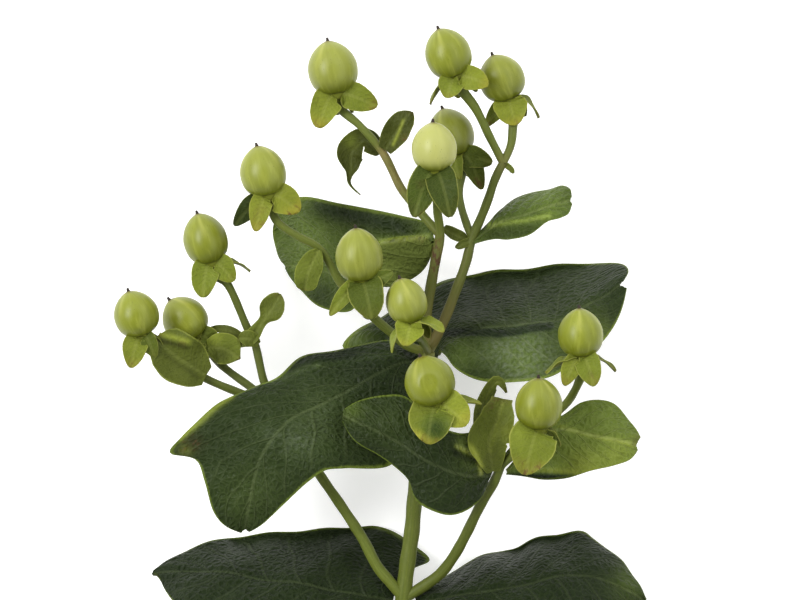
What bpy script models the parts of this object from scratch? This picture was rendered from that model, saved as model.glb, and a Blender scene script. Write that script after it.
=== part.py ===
"""A cut stem of hypericum with green berries, as it lies on a flat surface.

All tables are in millimetres. In them X runs to the right and Y towards the tip of the stem, seen from
above, and Z is the height over the surface. The finished model is in metres, with its origin under the
middle of its box.
"""
from collections import namedtuple

import bmesh
import bpy
import numpy as np

MM = 0.001

# Driving dimensions, in millimetres
GAP = 0.3
LEAF_THICKNESS = 0.8
SEPAL_THICKNESS = 0.7
CUP_RADIUS = 2.2
CUP_DEPTH = 1.9
SEPAL_ROOT_DEPTH = 1.1
SEPAL_ROOT_RADIUS = 1.5
SEPAL_COUNT = 5
HIDDEN_SEPAL_REACH = 4.2
HIDDEN_SEPAL_DROP = 5.6
HIDDEN_SEPAL_WIDTH = 3.6
BERRY_SEAT_RADIUS = 1.6
STYLE_LENGTH = 1.0
STYLE_RADIUS = 0.32
STALK_RADIUS = 0.85
STALK_LEAD = 2.5
BERRY_BELLY = 0.13
SEPAL_BEND = 0.42
SEPAL_SHAPE = ((0, 0.3, 0.6, 0.8, 1), (0.24, 0.72, 1.0, 0.85, 0.26))
SEPAL_LEAST_WIDTH = 1.2
BRACT_LEAST_WIDTH = 1.0

# Fineness of the solids
BERRY_SIDES = 10
BERRY_RINGS = 6
CUP_SIDES = 8
STEM_RING_STEP = 7.5
LEAF_ROWS = 10
LEAF_COLUMNS = (0.0, 0.06, 0.2, 0.35, 0.5, 0.65, 0.8, 0.94, 1.0)
SEPAL_ROWS = 3
BRACT_ROWS = 4
SHORTEST_EDGE = 0.005
SHARP_ANGLE = 50

Berry = namedtuple("Berry", "centre width height lean tilt")
Branch = namedtuple("Branch", "points radii sides")
Bract = namedtuple("Bract", "points widths up")

# Berries: the middle, width and height, the lean of the axis to the left and its rise to the viewer
BERRIES = {
    "01": Berry((-16.3, 55.9, 30), 12.0, 12.7, 10, 5),
    "02": Berry((-32.9, 31.0, 38), 11.0, 12.0, 13, 5),
    "03": Berry((-46.9, 14.9, 27), 10.6, 12.2, 17, 5),
    "04": Berry((-63.4, -3.1, 33), 10.8, 11.0, 18, 8),
    "05": Berry((-52.0, -4.3, 22), 10.8, 11.0, 38, 5),
    "06": Berry((11.3, 59.3, 35), 11.0, 12.0, 21, 5),
    "07": Berry((24.2, 53.5, 28), 11.0, 11.3, 21, 5),
    "08": Berry((8.2, 36.7, 43), 10.8, 11.6, 3, 8),
    "09": Berry((12.0, 40.3, 24), 11.0, 11.8, 18, 0),
    "10": Berry((-9.8, 10.9, 46), 11.3, 12.7, 7, 8),
    "11": Berry((1.4, 0.0, 46), 9.8, 10.8, 16, 10),
    "12": Berry((6.8, -19.0, 51), 12.0, 11.9, 20, 12),
    "13": Berry((33.1, -24.5, 50), 11.3, 12.2, 1, 14),
    "14": Berry((43.1, -7.7, 42), 10.8, 11.5, 3, 6),
}

# Sepals that face the viewer: tip from the foot of the berry, width, and 1 where the blade lies open
# to the viewer or 0 where it is seen on its edge
SEPALS = {
    "01": [(-4.5, -8.4, 2, 6.5, 1), (9.7, -3.3, 1, 6.0, 1)],
    "02": [(-8.1, -7.4, -1, 4.3, 1), (-2.8, -8.8, 3, 4.8, 1), (7.5, -4.0, 1, 6.5, 1)],
    "03": [(-2.1, -8.5, 2, 6.0, 1), (5.1, -4.7, 2, 5.3, 1), (9.1, -2.3, -1, 5.2, 0)],
    "04": [(-2.7, -8.0, 2, 5.3, 1), (3.1, -5.6, 1.2, 3.6, 1)],
    "05": [(-0.4, -5.3, 2, 4.8, 1), (5.4, -3.8, 1, 4.8, 1)],
    "06": [(-6.2, -6.9, -1, 5.2, 0), (-2.2, -5.4, 3, 5.5, 1), (7.7, -2.3, 3, 5.3, 1)],
    "07": [(-5.4, -6.5, 1, 3.4, 1), (1.6, -6.3, 3, 7.2, 1), (7.1, -4.6, 0, 5.2, 0)],
    "08": [(-5.1, -11.2, 2, 6.7, 1), (3.5, -11.2, 3, 6.7, 1)],
    "09": [(8.3, -1.8, 2, 4.8, 1), (5.9, -8.1, 1, 4.6, 1)],
    "10": [(-7.7, -8.4, 2, 3.6, 1), (2.3, -9.2, 4, 7.9, 1), (7.4, 2.0, 3, 3.6, 1)],
    "11": [(-4.8, -7.5, 0, 5.2, 0), (-1.5, -5.8, 5, 6.2, 1), (7.6, -2.5, 2, 5.2, 0)],
    "12": [
        (-4.8, -4.3, 0, 3.4, 1), (-2.2, -9.8, 4, 9.6, 1), (7.2, -5.2, 3, 7.9, 1), (10.6, -0.4, 0, 5.2, 0),
        (-5.5, -3.0, -3, 4.0, 0),
    ],
    "13": [
        (-3.5, -11.2, 4, 10.1, 1), (-6.8, -2.4, 1, 5.2, 1), (5.0, -4.5, -1.5, 4.0, 0),
        (3.2, -2.0, -4.6, 4.0, 0), (-3.6, -1.0, -4.2, 4.0, 0),
    ],
    "14": [(-8.6, -4.1, 1, 5.2, 0), (-4.3, -7.0, 3, 4.3, 1), (2.9, -7.2, 3, 5.5, 1), (8.2, -3.6, 0, 5.2, 0)],
}

# Main stem and branches: middle lines, radii at the two ends and the number of sides. A branch that
# names a berry runs on to the foot of that berry's cup.
MAIN_STEM = Branch(
    [
        (-4.8, -153.6, 2.1), (-3.4, -127.2, 4.6), (-1.0, -93.6, 10.5), (0.7, -72.0, 15.5),
        (1.7, -64.1, 17.0), (2.9, -55.4, 18.5), (3.4, -49.2, 20.0), (4.8, -33.6, 23.5),
        (6.7, -12.5, 27.0),
    ],
    (2.1, 1.6),
    8,
)
BRANCHES = {
    "left": Branch(
        [
            (0.7, -71.5, 15.5), (-2.4, -67.9, 17.0), (-5.5, -64.1, 17.5), (-8.9, -57.6, 18.5),
            (-13.9, -49.9, 19.5), (-19.2, -42.2, 20.5), (-24.7, -33.6, 21.5), (-30.0, -25.2, 22.5),
        ],
        (1.3, 1.0),
        7,
    ),
    "right": Branch(
        [
            (0.7, -72.0, 15.5), (7.2, -67.9, 17.0), (10.1, -65.5, 18.5), (13.2, -61.2, 21.5),
            (15.8, -56.4, 25.0), (19.2, -49.4, 29.5), (22.6, -43.4, 34.0), (24.0, -39.8, 36.0),
        ],
        (1.3, 1.1),
        7,
    ),
    "upper": Branch(
        [
            (6.7, -12.5, 27.0), (10.3, -5.5, 29.0), (13.0, 1.2, 30.0), (15.8, 8.9, 31.0),
            (17.3, 14.9, 31.5), (19.2, 19.2, 31.5), (21.1, 24.0, 31.0), (22.8, 29.0, 31.0),
            (24.7, 32.9, 31.0),
        ],
        (1.2, 0.95),
        7,
    ),
    "centre": Branch(
        [
            (6.7, -12.5, 27.0), (6.2, -4.6, 29.0), (7.2, 2.2, 30.5), (8.4, 8.9, 32.0),
            (9.6, 15.6, 33.0),
        ],
        (1.3, 1.1),
        6,
    ),
    "berry_01": Branch(
        [(9.6, 15.6, 33.0), (4.8, 21.1, 31.0), (0.5, 26.4, 30.0), (-4.1, 35.3, 30.0), (-10.8, 43.4, 30.0)],
        (1.0, 0.85),
        6,
    ),
    "berry_02": Branch(
        [
            (6.7, -12.5, 27.0), (1.9, -11.0, 28.5), (-1.4, -8.4, 29.5), (-6.2, -4.3, 31.0),
            (-11.5, 1.0, 33.0), (-14.6, 4.6, 34.0), (-19.2, 12.2, 35.0), (-24.7, 15.4, 36.0),
            (-29.3, 18.7, 37.0),
        ],
        (1.1, 0.85),
        6,
    ),
    "berry_03": Branch(
        [
            (-30.0, -25.2, 22.5), (-32.6, -19.9, 22.5), (-35.0, -10.1, 23.5), (-36.7, -6.7, 24.0),
            (-41.8, 4.3, 26.0),
        ],
        (0.95, 0.85),
        6,
    ),
    "berry_04": Branch(
        [(-30.0, -25.2, 22.5), (-39.1, -22.1, 24.0), (-47.0, -18.7, 25.5), (-55.2, -13.9, 28.0)],
        (0.95, 0.85),
        6,
    ),
    "berry_05": Branch([(-30.0, -25.2, 22.5), (-36.0, -20.9, 21.0), (-43.0, -15.6, 20.5)], (0.95, 0.85), 6),
    "berry_06": Branch([(24.7, 32.9, 31.0), (21.6, 38.9, 32.0), (18.0, 46.1, 33.0)], (0.9, 1.0), 6),
    "berry_07": Branch([(24.7, 32.9, 31.0), (26.6, 37.2, 30.0), (27.1, 41.8, 29.0)], (0.9, 1.0), 6),
    "berry_08": Branch([(8.4, 8.9, 32.0), (9.6, 15.6, 33.5), (8.9, 21.6, 36.5)], (1.1, 0.85), 6),
    "berry_09": Branch([(17.3, 14.9, 31.5), (15.8, 18.7, 30.0), (14.2, 25.2, 27.0)], (0.9, 0.85), 6),
    "berry_10": Branch([(-6.8, -3.7, 31.2), (-8.4, -3.2, 37.0)], (0.9, 0.85), 6),
    "berry_11": Branch([(6.7, -12.5, 27.0), (6.0, -11.0, 32.0), (4.8, -9.1, 38.0)], (1.0, 0.9), 6),
    "berry_12": Branch([(5.8, -22.8, 25.5), (6.7, -24.5, 34.0), (8.6, -26.4, 43.0)], (1.0, 0.9), 6),
    "berry_13": Branch([(24.0, -39.8, 36.0), (27.2, -36.9, 41.0), (31.0, -34.6, 45.0)], (1.0, 0.9), 6),
    "berry_14": Branch(
        [(24.0, -39.8, 36.0), (29.0, -34.0, 34.2), (34.5, -29.3, 33.0), (40.1, -24.5, 33.5)],
        (1.0, 0.9),
        6,
    ),
}

# Large leaves: the far edge, the midrib and the near edge, each from the root to the notch at the tip
LEAVES = {
    "leaf_upper_left": (
        [
            (4.2, -13.7, 24.3), (-0.7, -9.8, 24.0), (-14.6, -12.0, 25.0), (-24.0, -13.9, 27.0),
            (-30.7, -19.4, 29.0), (-40.6, -23.0, 31.0), (-46.8, -27.4, 32.0), (-52.1, -32.6, 30.0),
            (-53.3, -36.5, 28.0), (-48.7, -38.9, 31.0), (-46.8, -43.2, 33.0), (-44.9, -50.4, 32.0),
            (-42.0, -54.0, 30.0), (-38.2, -55.9, 28.5),
        ],
        [
            (4.0, -14.9, 25.8), (-0.7, -15.4, 30.5), (-16.1, -23.8, 35.0), (-26.4, -28.8, 38.0),
            (-33.1, -37.2, 38.0), (-36.0, -48.0, 34.0), (-37.2, -55.2, 29.0),
        ],
        [
            (4.1, -16.4, 27.3), (3.9, -24.0, 31.0), (1.9, -33.6, 33.0), (-2.4, -39.6, 34.0),
            (-13.2, -40.3, 37.0), (-18.0, -40.8, 38.0), (-21.6, -43.2, 38.0), (-27.6, -48.7, 36.0),
            (-33.1, -54.0, 31.0), (-36.2, -55.7, 29.0),
        ],
    ),
    "leaf_upper_right": (
        [
            (9.1, -13.9, 23.5), (6.0, -17.3, 19.0), (0.0, -15.8, 14.0), (-8.4, -13.9, 10.0),
            (-13.9, -11.3, 8.0), (-9.1, -6.7, 6.0), (-3.8, -3.8, 4.5), (9.4, 3.8, 1.0),
            (24.0, 7.2, -3.2), (38.4, 8.4, -3.0), (48.0, 8.9, 1.5), (54.0, 8.6, 7.0),
            (55.2, 6.7, 11.0), (53.8, 4.3, 14.0),
        ],
        [
            (9.1, -13.0, 25.5), (12.0, -9.6, 24.5), (22.3, -6.2, 23.0), (37.7, -4.8, 20.5),
            (45.6, -1.2, 18.0), (53.0, 3.6, 15.0),
        ],
        [
            (9.4, -12.0, 27.0), (11.0, -13.4, 28.0), (13.2, -16.3, 29.0), (18.0, -19.0, 30.0),
            (24.0, -19.7, 31.0), (31.2, -19.4, 31.0), (37.2, -18.0, 30.0), (42.0, -15.1, 29.0),
            (48.0, -10.8, 26.0), (50.9, -7.2, 23.0), (53.3, -2.4, 19.0), (54.7, 2.6, 16.0),
        ],
    ),
    "leaf_lower_left": (
        [
            (-1.0, -70.3, 14.0), (2.4, -65.3, 10.0), (7.2, -62.9, 5.0), (4.6, -60.2, 3.0),
            (0.7, -57.4, 1.5), (-3.6, -55.7, 0.6), (-7.7, -54.7, -1.4), (-14.4, -55.0, -3.2),
            (-25.9, -56.2, -3.8), (-37.2, -56.9, -2.0), (-43.2, -57.8, 1.2), (-49.9, -59.8, 3.0),
            (-55.2, -62.6, 5.0), (-59.5, -65.5, 7.0),
        ],
        [
            (-1.7, -72.5, 15.5), (-7.2, -71.3, 18.0), (-19.2, -69.1, 18.0), (-33.6, -67.0, 16.0),
            (-48.0, -65.3, 12.0), (-60.0, -66.0, 8.0),
        ],
        [
            (-1.0, -74.2, 17.0), (-6.7, -78.7, 24.0), (-14.4, -82.8, 28.0), (-24.0, -85.2, 30.0),
            (-33.6, -85.2, 30.0), (-42.0, -82.8, 28.0), (-49.2, -78.0, 24.0), (-55.2, -72.0, 16.0),
            (-58.6, -66.7, 9.0),
        ],
    ),
    "leaf_lower_right": (
        [
            (3.4, -71.0, 13.8), (6.0, -67.2, 11.0), (9.4, -67.4, 9.0), (15.8, -63.6, 4.0),
            (20.9, -61.4, 1.2), (25.2, -60.5, -0.6), (28.6, -60.0, -2.6), (33.8, -57.6, -3.2),
            (38.2, -56.9, -2.4), (44.2, -56.2, 0.4), (46.6, -57.6, 2.0), (50.2, -60.7, 4.0),
            (54.2, -63.4, 6.0), (56.9, -67.4, 8.0), (59.5, -72.0, 11.0),
        ],
        [
            (3.9, -73.1, 15.3), (8.2, -72.2, 17.5), (16.8, -70.6, 19.0), (25.2, -69.4, 19.0),
            (33.8, -67.4, 18.0), (40.6, -66.5, 16.0), (48.2, -67.0, 14.0), (59.3, -73.2, 11.0),
        ],
        [
            (3.2, -75.0, 16.9), (6.3, -78.3, 23.0), (12.0, -82.8, 28.0), (21.6, -86.4, 31.0),
            (31.2, -87.6, 31.0), (40.8, -86.4, 28.0), (49.2, -83.5, 23.0), (56.4, -78.7, 16.0),
            (59.8, -74.4, 12.0),
        ],
    ),
    "leaf_centre": (
        [
            (7.9, 15.0, 31.3), (7.2, 18.2, 27.0), (0.0, 20.4, 22.0), (-14.4, 23.3, 14.0),
            (-24.0, 25.0, 6.0), (-28.8, 22.8, 0.0), (-30.7, 18.0, -1.8), (-30.0, 12.0, 2.0),
            (-28.6, 9.1, 7.0),
        ],
        [
            (7.9, 14.1, 31.4), (4.8, 7.7, 27.5), (-1.2, 4.3, 25.0), (-12.0, 5.3, 21.0),
            (-21.6, 7.7, 14.0), (-27.8, 8.2, 9.0),
        ],
        [
            (7.5, 13.2, 30.9), (6.4, 15.0, 31.2), (1.2, 15.4, 31.5), (-5.3, 13.9, 31.0),
            (-7.7, 9.1, 28.0), (-8.6, 2.4, 25.0), (-12.0, -2.6, 22.0), (-18.7, -1.9, 18.0),
            (-24.0, 2.4, 13.0), (-27.1, 6.7, 10.0),
        ],
    ),
    "leaf_upper_small": (
        [
            (20.1, 17.3, 30.6), (24.2, 21.4, 28.0), (27.8, 24.5, 26.0), (35.5, 26.4, 25.0),
            (38.9, 27.8, 25.0), (41.0, 26.9, 27.0), (41.5, 25.0, 28.0),
        ],
        [
            (20.0, 16.4, 31.5), (24.0, 18.7, 33.0), (28.6, 20.4, 34.0), (34.8, 22.3, 33.0),
            (41.0, 24.0, 29.5),
        ],
        [
            (19.7, 15.5, 32.4), (22.8, 14.6, 34.0), (25.9, 14.4, 35.0), (31.0, 15.6, 35.5),
            (35.3, 18.7, 35.0), (38.2, 19.4, 34.0), (40.3, 20.6, 32.0), (41.3, 23.0, 30.5),
        ],
    ),
    "leaf_front": (
        [
            (22.3, -40.8, 37.2), (21.0, -36.4, 37.6), (18.2, -32.0, 38.4), (13.9, -31.8, 40.8),
            (7.2, -28.8, 41.0), (1.2, -23.0, 40.0), (-3.8, -22.8, 39.0), (-9.8, -24.0, 39.0),
            (-13.4, -26.4, 40.0),
        ],
        [
            (21.7, -42.0, 36.5), (14.9, -41.8, 42.0), (7.2, -38.9, 44.0), (-1.2, -33.6, 43.0),
            (-8.4, -30.0, 42.0), (-13.7, -27.6, 41.0),
        ],
        [
            (21.1, -43.1, 35.9), (19.7, -47.0, 38.0), (16.6, -49.9, 39.0), (12.2, -51.6, 40.0),
            (7.9, -50.4, 41.0), (3.6, -47.5, 41.0), (1.4, -42.2, 41.0), (-5.3, -37.0, 41.5),
            (-11.0, -33.4, 42.0), (-13.7, -29.0, 41.5),
        ],
    ),
    "leaf_right": (
        [
            (25.9, -40.5, 36.6), (29.2, -35.4, 37.2), (33.6, -30.4, 36.8), (38.2, -27.8, 36.0),
            (43.7, -24.5, 35.0), (50.9, -24.7, 34.0), (55.7, -29.5, 34.0), (57.6, -32.9, 35.0),
        ],
        [
            (25.6, -41.1, 36.0), (30.5, -36.4, 38.0), (37.7, -31.2, 39.2), (48.0, -32.6, 39.0),
            (56.6, -34.8, 36.5),
        ],
        [
            (25.4, -41.8, 35.6), (29.5, -42.2, 37.5), (34.3, -43.0, 38.5), (39.8, -42.6, 40.0),
            (45.8, -40.8, 41.5), (51.6, -39.4, 40.5), (55.0, -38.2, 39.0), (56.9, -36.0, 37.3),
        ],
    ),
}

# Small leaves at the forks: midrib, widths along it and the side they turn up
BRACTS = {
    "bract_01_right": Bract(
        [(-2.9, 36.2, 31.0), (-1.0, 39.6, 32.0), (2.2, 45.4, 33.0)],
        (1.9, 5.8, 0.8),
        (0, 0.3, 1),
    ),
    "bract_01_left": Bract(
        [
            (-5.2, 34.9, 28.9), (-8.5, 38.4, 27.0), (-12.2, 36.4, 26.0), (-12.3, 31.0, 26.5),
            (-9.6, 25.4, 28.5),
        ],
        (1.9, 7.5, 6.5, 4.5, 0.8),
        (0.3, 0.3, 1),
    ),
    "bract_02": Bract(
        [(-19.8, 10.7, 36.0), (-22.3, 7.7, 36.8), (-22.6, 2.4, 34.5)],
        (1.9, 6.2, 2.5),
        (0, 0, 1),
    ),
    "bract_03_right": Bract(
        [(-33.9, -9.0, 24.9), (-32.6, -6.0, 25.8), (-30.0, -1.9, 27.0), (-28.1, 1.2, 27.4)],
        (1.7, 2.2, 5.8, 2.0),
        (0, 0, 1),
    ),
    "bract_03_left": Bract(
        [(-37.0, -9.9, 23.1), (-40.0, -7.8, 23.0), (-44.0, -6.6, 20.5)],
        (1.7, 3.0, 1.0),
        (0, 0.3, 1),
    ),
    "bract_03_low": Bract(
        [(-34.0, -10.6, 25.4), (-36.5, -9.2, 26.3), (-39.0, -9.5, 26.0)],
        (1.5, 4.0, 1.0),
        (0, 0, 1),
    ),
    "bract_04": Bract(
        [(-47.4, -17.6, 28.2), (-52.0, -14.2, 31.8), (-56.6, -10.5, 34.9)],
        (1.9, 10.5, 6.0),
        (0, 0.2, 1),
    ),
    "bract_05": Bract(
        [(-44.9, -11.9, 23.9), (-42.3, -11.4, 25.0), (-39.2, -13.8, 24.8)],
        (1.9, 7.5, 2.0),
        (0, 0, 1),
    ),
    "bract_06": Bract(
        [(26.2, 32.3, 31.0), (26.7, 31.5, 31.0), (27.2, 30.5, 31.0)],
        (1.0, 1.0, 0.8),
        (0, 0, 1),
    ),
    "bract_08": Bract(
        [(11.3, 16.8, 32.2), (13.0, 16.0, 31.0), (14.8, 14.8, 29.2)],
        (1.4, 2.9, 0.8),
        (0, 0, 1),
    ),
    "bract_09": Bract(
        [(15.5, 13.9, 32.3), (14.6, 13.3, 32.6), (13.4, 12.8, 32.4)],
        (1.4, 1.6, 0.8),
        (0, 0, 1),
    ),
    "bract_13_thin": Bract(
        [
            (22.2, -38.9, 35.4), (19.9, -31.2, 35.2), (19.8, -25.0, 37.0), (23.2, -19.4, 38.5),
            (25.6, -22.2, 37.0),
        ],
        (1.9, 5.3, 4.8, 3.4, 1.2),
        (0.6, 0, 1),
    ),
    "bract_13_wide": Bract(
        [(23.4, -37.9, 37.3), (22.3, -33.5, 41.4), (23.6, -28.0, 42.2), (24.9, -23.9, 41.5)],
        (1.6, 8.0, 8.2, 6.0),
        (0, 0, 1),
    ),
}

# Colours (red, green, blue), roughness
GREENS = {
    "stem": ((0.22, 0.24, 0.07), 0.55),
    "leaf": ((0.045, 0.085, 0.022), 0.40),
    "leaf_right": ((0.14, 0.25, 0.06), 0.42),
    "bract": ((0.10, 0.19, 0.035), 0.45),
    "calyx": ((0.26, 0.38, 0.06), 0.50),
    "berry": ((0.36, 0.45, 0.04), 0.28),
}


def unit(vector):
    """The vector at length one."""
    vector = np.asarray(vector, dtype=float)
    return vector / np.linalg.norm(vector)


def smooth_line(points, stations):
    """Points on a smooth curve through the given ones, at shares of its length from 0 to 1."""
    points = np.asarray(points, dtype=float)
    if len(points) == 2:
        return points[0] + np.outer(stations, points[1] - points[0])
    steps = np.linalg.norm(np.diff(points, axis=0), axis=1) ** 0.5
    knots = np.concatenate([[0.0], np.cumsum(steps)])
    slopes = np.empty_like(points)
    chords = np.diff(points, axis=0) / steps[:, None]
    share = (steps[:-1] / (steps[:-1] + steps[1:]))[:, None]
    slopes[1:-1] = (1 - share) * chords[:-1] + share * chords[1:]
    slopes[0] = 1.5 * chords[0] - 0.5 * slopes[1]
    slopes[-1] = 1.5 * chords[-1] - 0.5 * slopes[-2]
    fine = np.linspace(0, knots[-1], 16 * len(points))
    span = np.clip(np.searchsorted(knots, fine, side="right") - 1, 0, len(steps) - 1)
    width = steps[span][:, None]
    t = ((fine - knots[span]) / steps[span])[:, None]
    curve = (
        (2 * t**3 - 3 * t**2 + 1) * points[span]
        + (t**3 - 2 * t**2 + t) * width * slopes[span]
        + (3 * t**2 - 2 * t**3) * points[span + 1]
        + (t**3 - t**2) * width * slopes[span + 1]
    )
    length = np.concatenate([[0.0], np.cumsum(np.linalg.norm(np.diff(curve, axis=0), axis=1))])
    wanted = np.asarray(stations) * length[-1]
    return np.stack([np.interp(wanted, length, curve[:, k]) for k in range(3)], axis=1)


def berry_axis(berry):
    """The direction from a berry's foot to its tip."""
    lean, tilt = np.radians([berry.lean, berry.tilt])
    return np.array([-np.sin(lean) * np.cos(tilt), np.cos(lean) * np.cos(tilt), np.sin(tilt)])


def berry_foot(berry):
    """The middle of a berry's seated base."""
    return np.array(berry.centre) - berry_axis(berry) * berry.height / 2


def square_to(axis):
    """Two directions square to an axis and to each other."""
    first = unit(np.cross(axis, (0.0, 0.0, 1.0)) if abs(axis[2]) < 0.9 else np.cross(axis, (1.0, 0.0, 0.0)))
    return first, np.cross(axis, first)


def mesh_object(name, vertices, faces):
    """An object of one closed mesh, from vertices in millimetres."""
    mesh = bpy.data.meshes.new(name)
    mesh.from_pydata([tuple(v) for v in np.asarray(vertices) * MM], [], faces)
    body = bmesh.new()
    body.from_mesh(mesh)
    bmesh.ops.triangulate(body, faces=body.faces)
    bmesh.ops.recalc_face_normals(body, faces=body.faces)
    body.to_mesh(mesh)
    body.free()
    ob = bpy.data.objects.new(name, mesh)
    bpy.context.scene.collection.objects.link(ob)
    return ob


def join_rings(rings):
    """Vertices and faces of a body made of rings of equal count, closed with a fan at each end."""
    sides = len(rings[0])
    vertices = np.concatenate(rings)
    faces = []
    for i in range(len(rings) - 1):
        for j in range(sides):
            a, b = i * sides + j, i * sides + (j + 1) % sides
            faces.append((a, b, b + sides, a + sides))
    faces.append(tuple(range(sides - 1, -1, -1)))
    last = (len(rings) - 1) * sides
    faces.append(tuple(range(last, last + sides)))
    return vertices, faces


def turned(foot, axis, profile, sides):
    """Rings of a turned body: profile holds (height along the axis, radius)."""
    first, second = square_to(axis)
    angles = 2 * np.pi * np.arange(sides) / sides
    spokes = np.outer(np.cos(angles), first) + np.outer(np.sin(angles), second)
    return [foot + axis * height + spokes * radius for height, radius in profile]


def tube(points, radii, sides, end_axis=None):
    """Rings of a round stem along a smooth line. end_axis squares its last ring to that direction."""
    length = sum(np.linalg.norm(np.subtract(b, a)) for a, b in zip(points, points[1:]))
    count = max(3, int(round(length / STEM_RING_STEP)) + 1)
    stations = np.linspace(0, 1, count)
    line = smooth_line(points, stations)
    tangents = np.gradient(line, axis=0)
    if end_axis is not None:
        tangents[-1] = end_axis
    first, _ = square_to(unit(tangents[0]))
    angles = 2 * np.pi * np.arange(sides) / sides
    rings = []
    for station, place, tangent in zip(stations, line, tangents):
        tangent = unit(tangent)
        first = unit(first - tangent * np.dot(first, tangent))
        second = np.cross(tangent, first)
        radius = radii[0] + (radii[1] - radii[0]) * station
        rings.append(place + radius * (np.outer(np.cos(angles), first) + np.outer(np.sin(angles), second)))
    return rings


def sheet(grid, thickness):
    """Vertices and faces of a thin blade over a grid of points, with the same triangles on both faces."""
    rows, columns = grid.shape[:2]
    along = np.gradient(grid, axis=0)
    across = np.gradient(grid, axis=1)
    normals = np.cross(along, across)
    normals /= np.linalg.norm(normals, axis=2)[:, :, None]
    above = grid + normals * thickness / 2
    below = grid - normals * thickness / 2
    low, high = (below, above) if normals[:, :, 2].mean() > 0 else (above, below)
    low[:, :, 2] = np.maximum(low[:, :, 2], 0.0)
    high[:, :, 2] = np.maximum(high[:, :, 2], thickness)
    vertices = np.concatenate([low.reshape(-1, 3), high.reshape(-1, 3)])
    half = rows * columns
    faces = []
    for i in range(rows - 1):
        for j in range(columns - 1):
            a = i * columns + j
            b, c, d = a + 1, a + columns + 1, a + columns
            for triangle in ((a, b, c), (a, c, d)):
                faces.append(triangle)
                faces.append(tuple(k + half for k in reversed(triangle)))
    rim = list(range(columns))
    rim += [i * columns + columns - 1 for i in range(1, rows)]
    rim += [(rows - 1) * columns + j for j in range(columns - 2, -1, -1)]
    rim += [i * columns for i in range(rows - 2, 0, -1)]
    for a, b in zip(rim, rim[1:] + rim[:1]):
        faces.append((b, a, a + half))
        faces.append((b, a + half, b + half))
    return vertices, faces


def leaf_grid(lines, rows, columns):
    """Points over a leaf, on smooth cross lines through its far edge, midrib and near edge."""
    stations = np.linspace(0, 1, rows + 1)
    curves = [smooth_line(line, stations) for line in lines]
    return np.stack([
        smooth_line([curve[i] for curve in curves], columns)
        for i in range(rows + 1)
    ])


def strip_grid(line, widths, across):
    """Points over a small blade with one straight cross line at each station of its midrib."""
    half = 0.5 * np.asarray(widths)[:, None] * across
    return np.stack([line - half, line, line + half], axis=1)


def sepal_grid(berry, tip, width, open_to_viewer, rows):
    """Points over one sepal, from its root inside the cup out and back along the stalk to its tip."""
    axis = berry_axis(berry)
    foot = berry_foot(berry)
    reach = np.asarray(tip, dtype=float)
    out = unit(reach - axis * np.dot(reach, axis))
    root = foot - axis * SEPAL_ROOT_DEPTH + out * SEPAL_ROOT_RADIUS
    end = foot + reach
    bend = root + out * SEPAL_BEND * np.linalg.norm(end - root)
    t = np.linspace(0, 1, rows + 1)[:, None]
    line = (1 - t) ** 2 * root + 2 * t * (1 - t) * bend + t**2 * end
    tangents = np.gradient(line, axis=0)
    side = np.cross(axis, out)
    across = []
    for share, tangent in zip(t[:, 0], tangents):
        facing = np.cross(tangent, (0.0, 0.0, 1.0))
        facing = unit(facing) if np.linalg.norm(facing) > 0.05 else side
        facing = facing if np.dot(facing, side) >= 0 else -facing
        turn = open_to_viewer * min(1.0, 2 * share)
        across.append(unit(side * (1 - turn) + facing * turn))
    widths = np.maximum(width * np.interp(t[:, 0], *SEPAL_SHAPE), SEPAL_LEAST_WIDTH)
    return strip_grid(line, widths, np.array(across))


def hidden_tips(berry, seen):
    """Tips of the sepals turned away from the viewer, evenly spread between the outermost seen ones."""
    axis = berry_axis(berry)
    right = unit(np.cross(axis, (0.0, 0.0, 1.0)))
    front = np.cross(right, axis)
    angles = []
    for x, y, z, _, _ in seen:
        angle = np.degrees(np.arctan2(np.dot((x, y, z), front), np.dot((x, y, z), right)))
        angles.append(angle if angle > -90 else angle + 360)
    count = SEPAL_COUNT - len(seen)
    step = (360 - max(angles) + min(angles)) / (count + 1)
    tips = []
    for k in range(count):
        turn = np.radians(max(angles) + step * (k + 1))
        out = np.cos(turn) * right + np.sin(turn) * front
        tips.append((*(out * HIDDEN_SEPAL_REACH - axis * HIDDEN_SEPAL_DROP), HIDDEN_SEPAL_WIDTH, 0))
    return tips


def bract_grid(bract, rows):
    """Points over a small leaf at a fork."""
    t = np.linspace(0, 1, rows + 1)
    line = smooth_line(bract.points, t)
    widths = np.interp(t, np.linspace(0, 1, len(bract.widths)), bract.widths)
    tangents = np.gradient(line, axis=0)
    across = np.array([unit(np.cross(tangent, bract.up)) for tangent in tangents])
    return strip_grid(line, np.maximum(widths, BRACT_LEAST_WIDTH), across)


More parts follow.
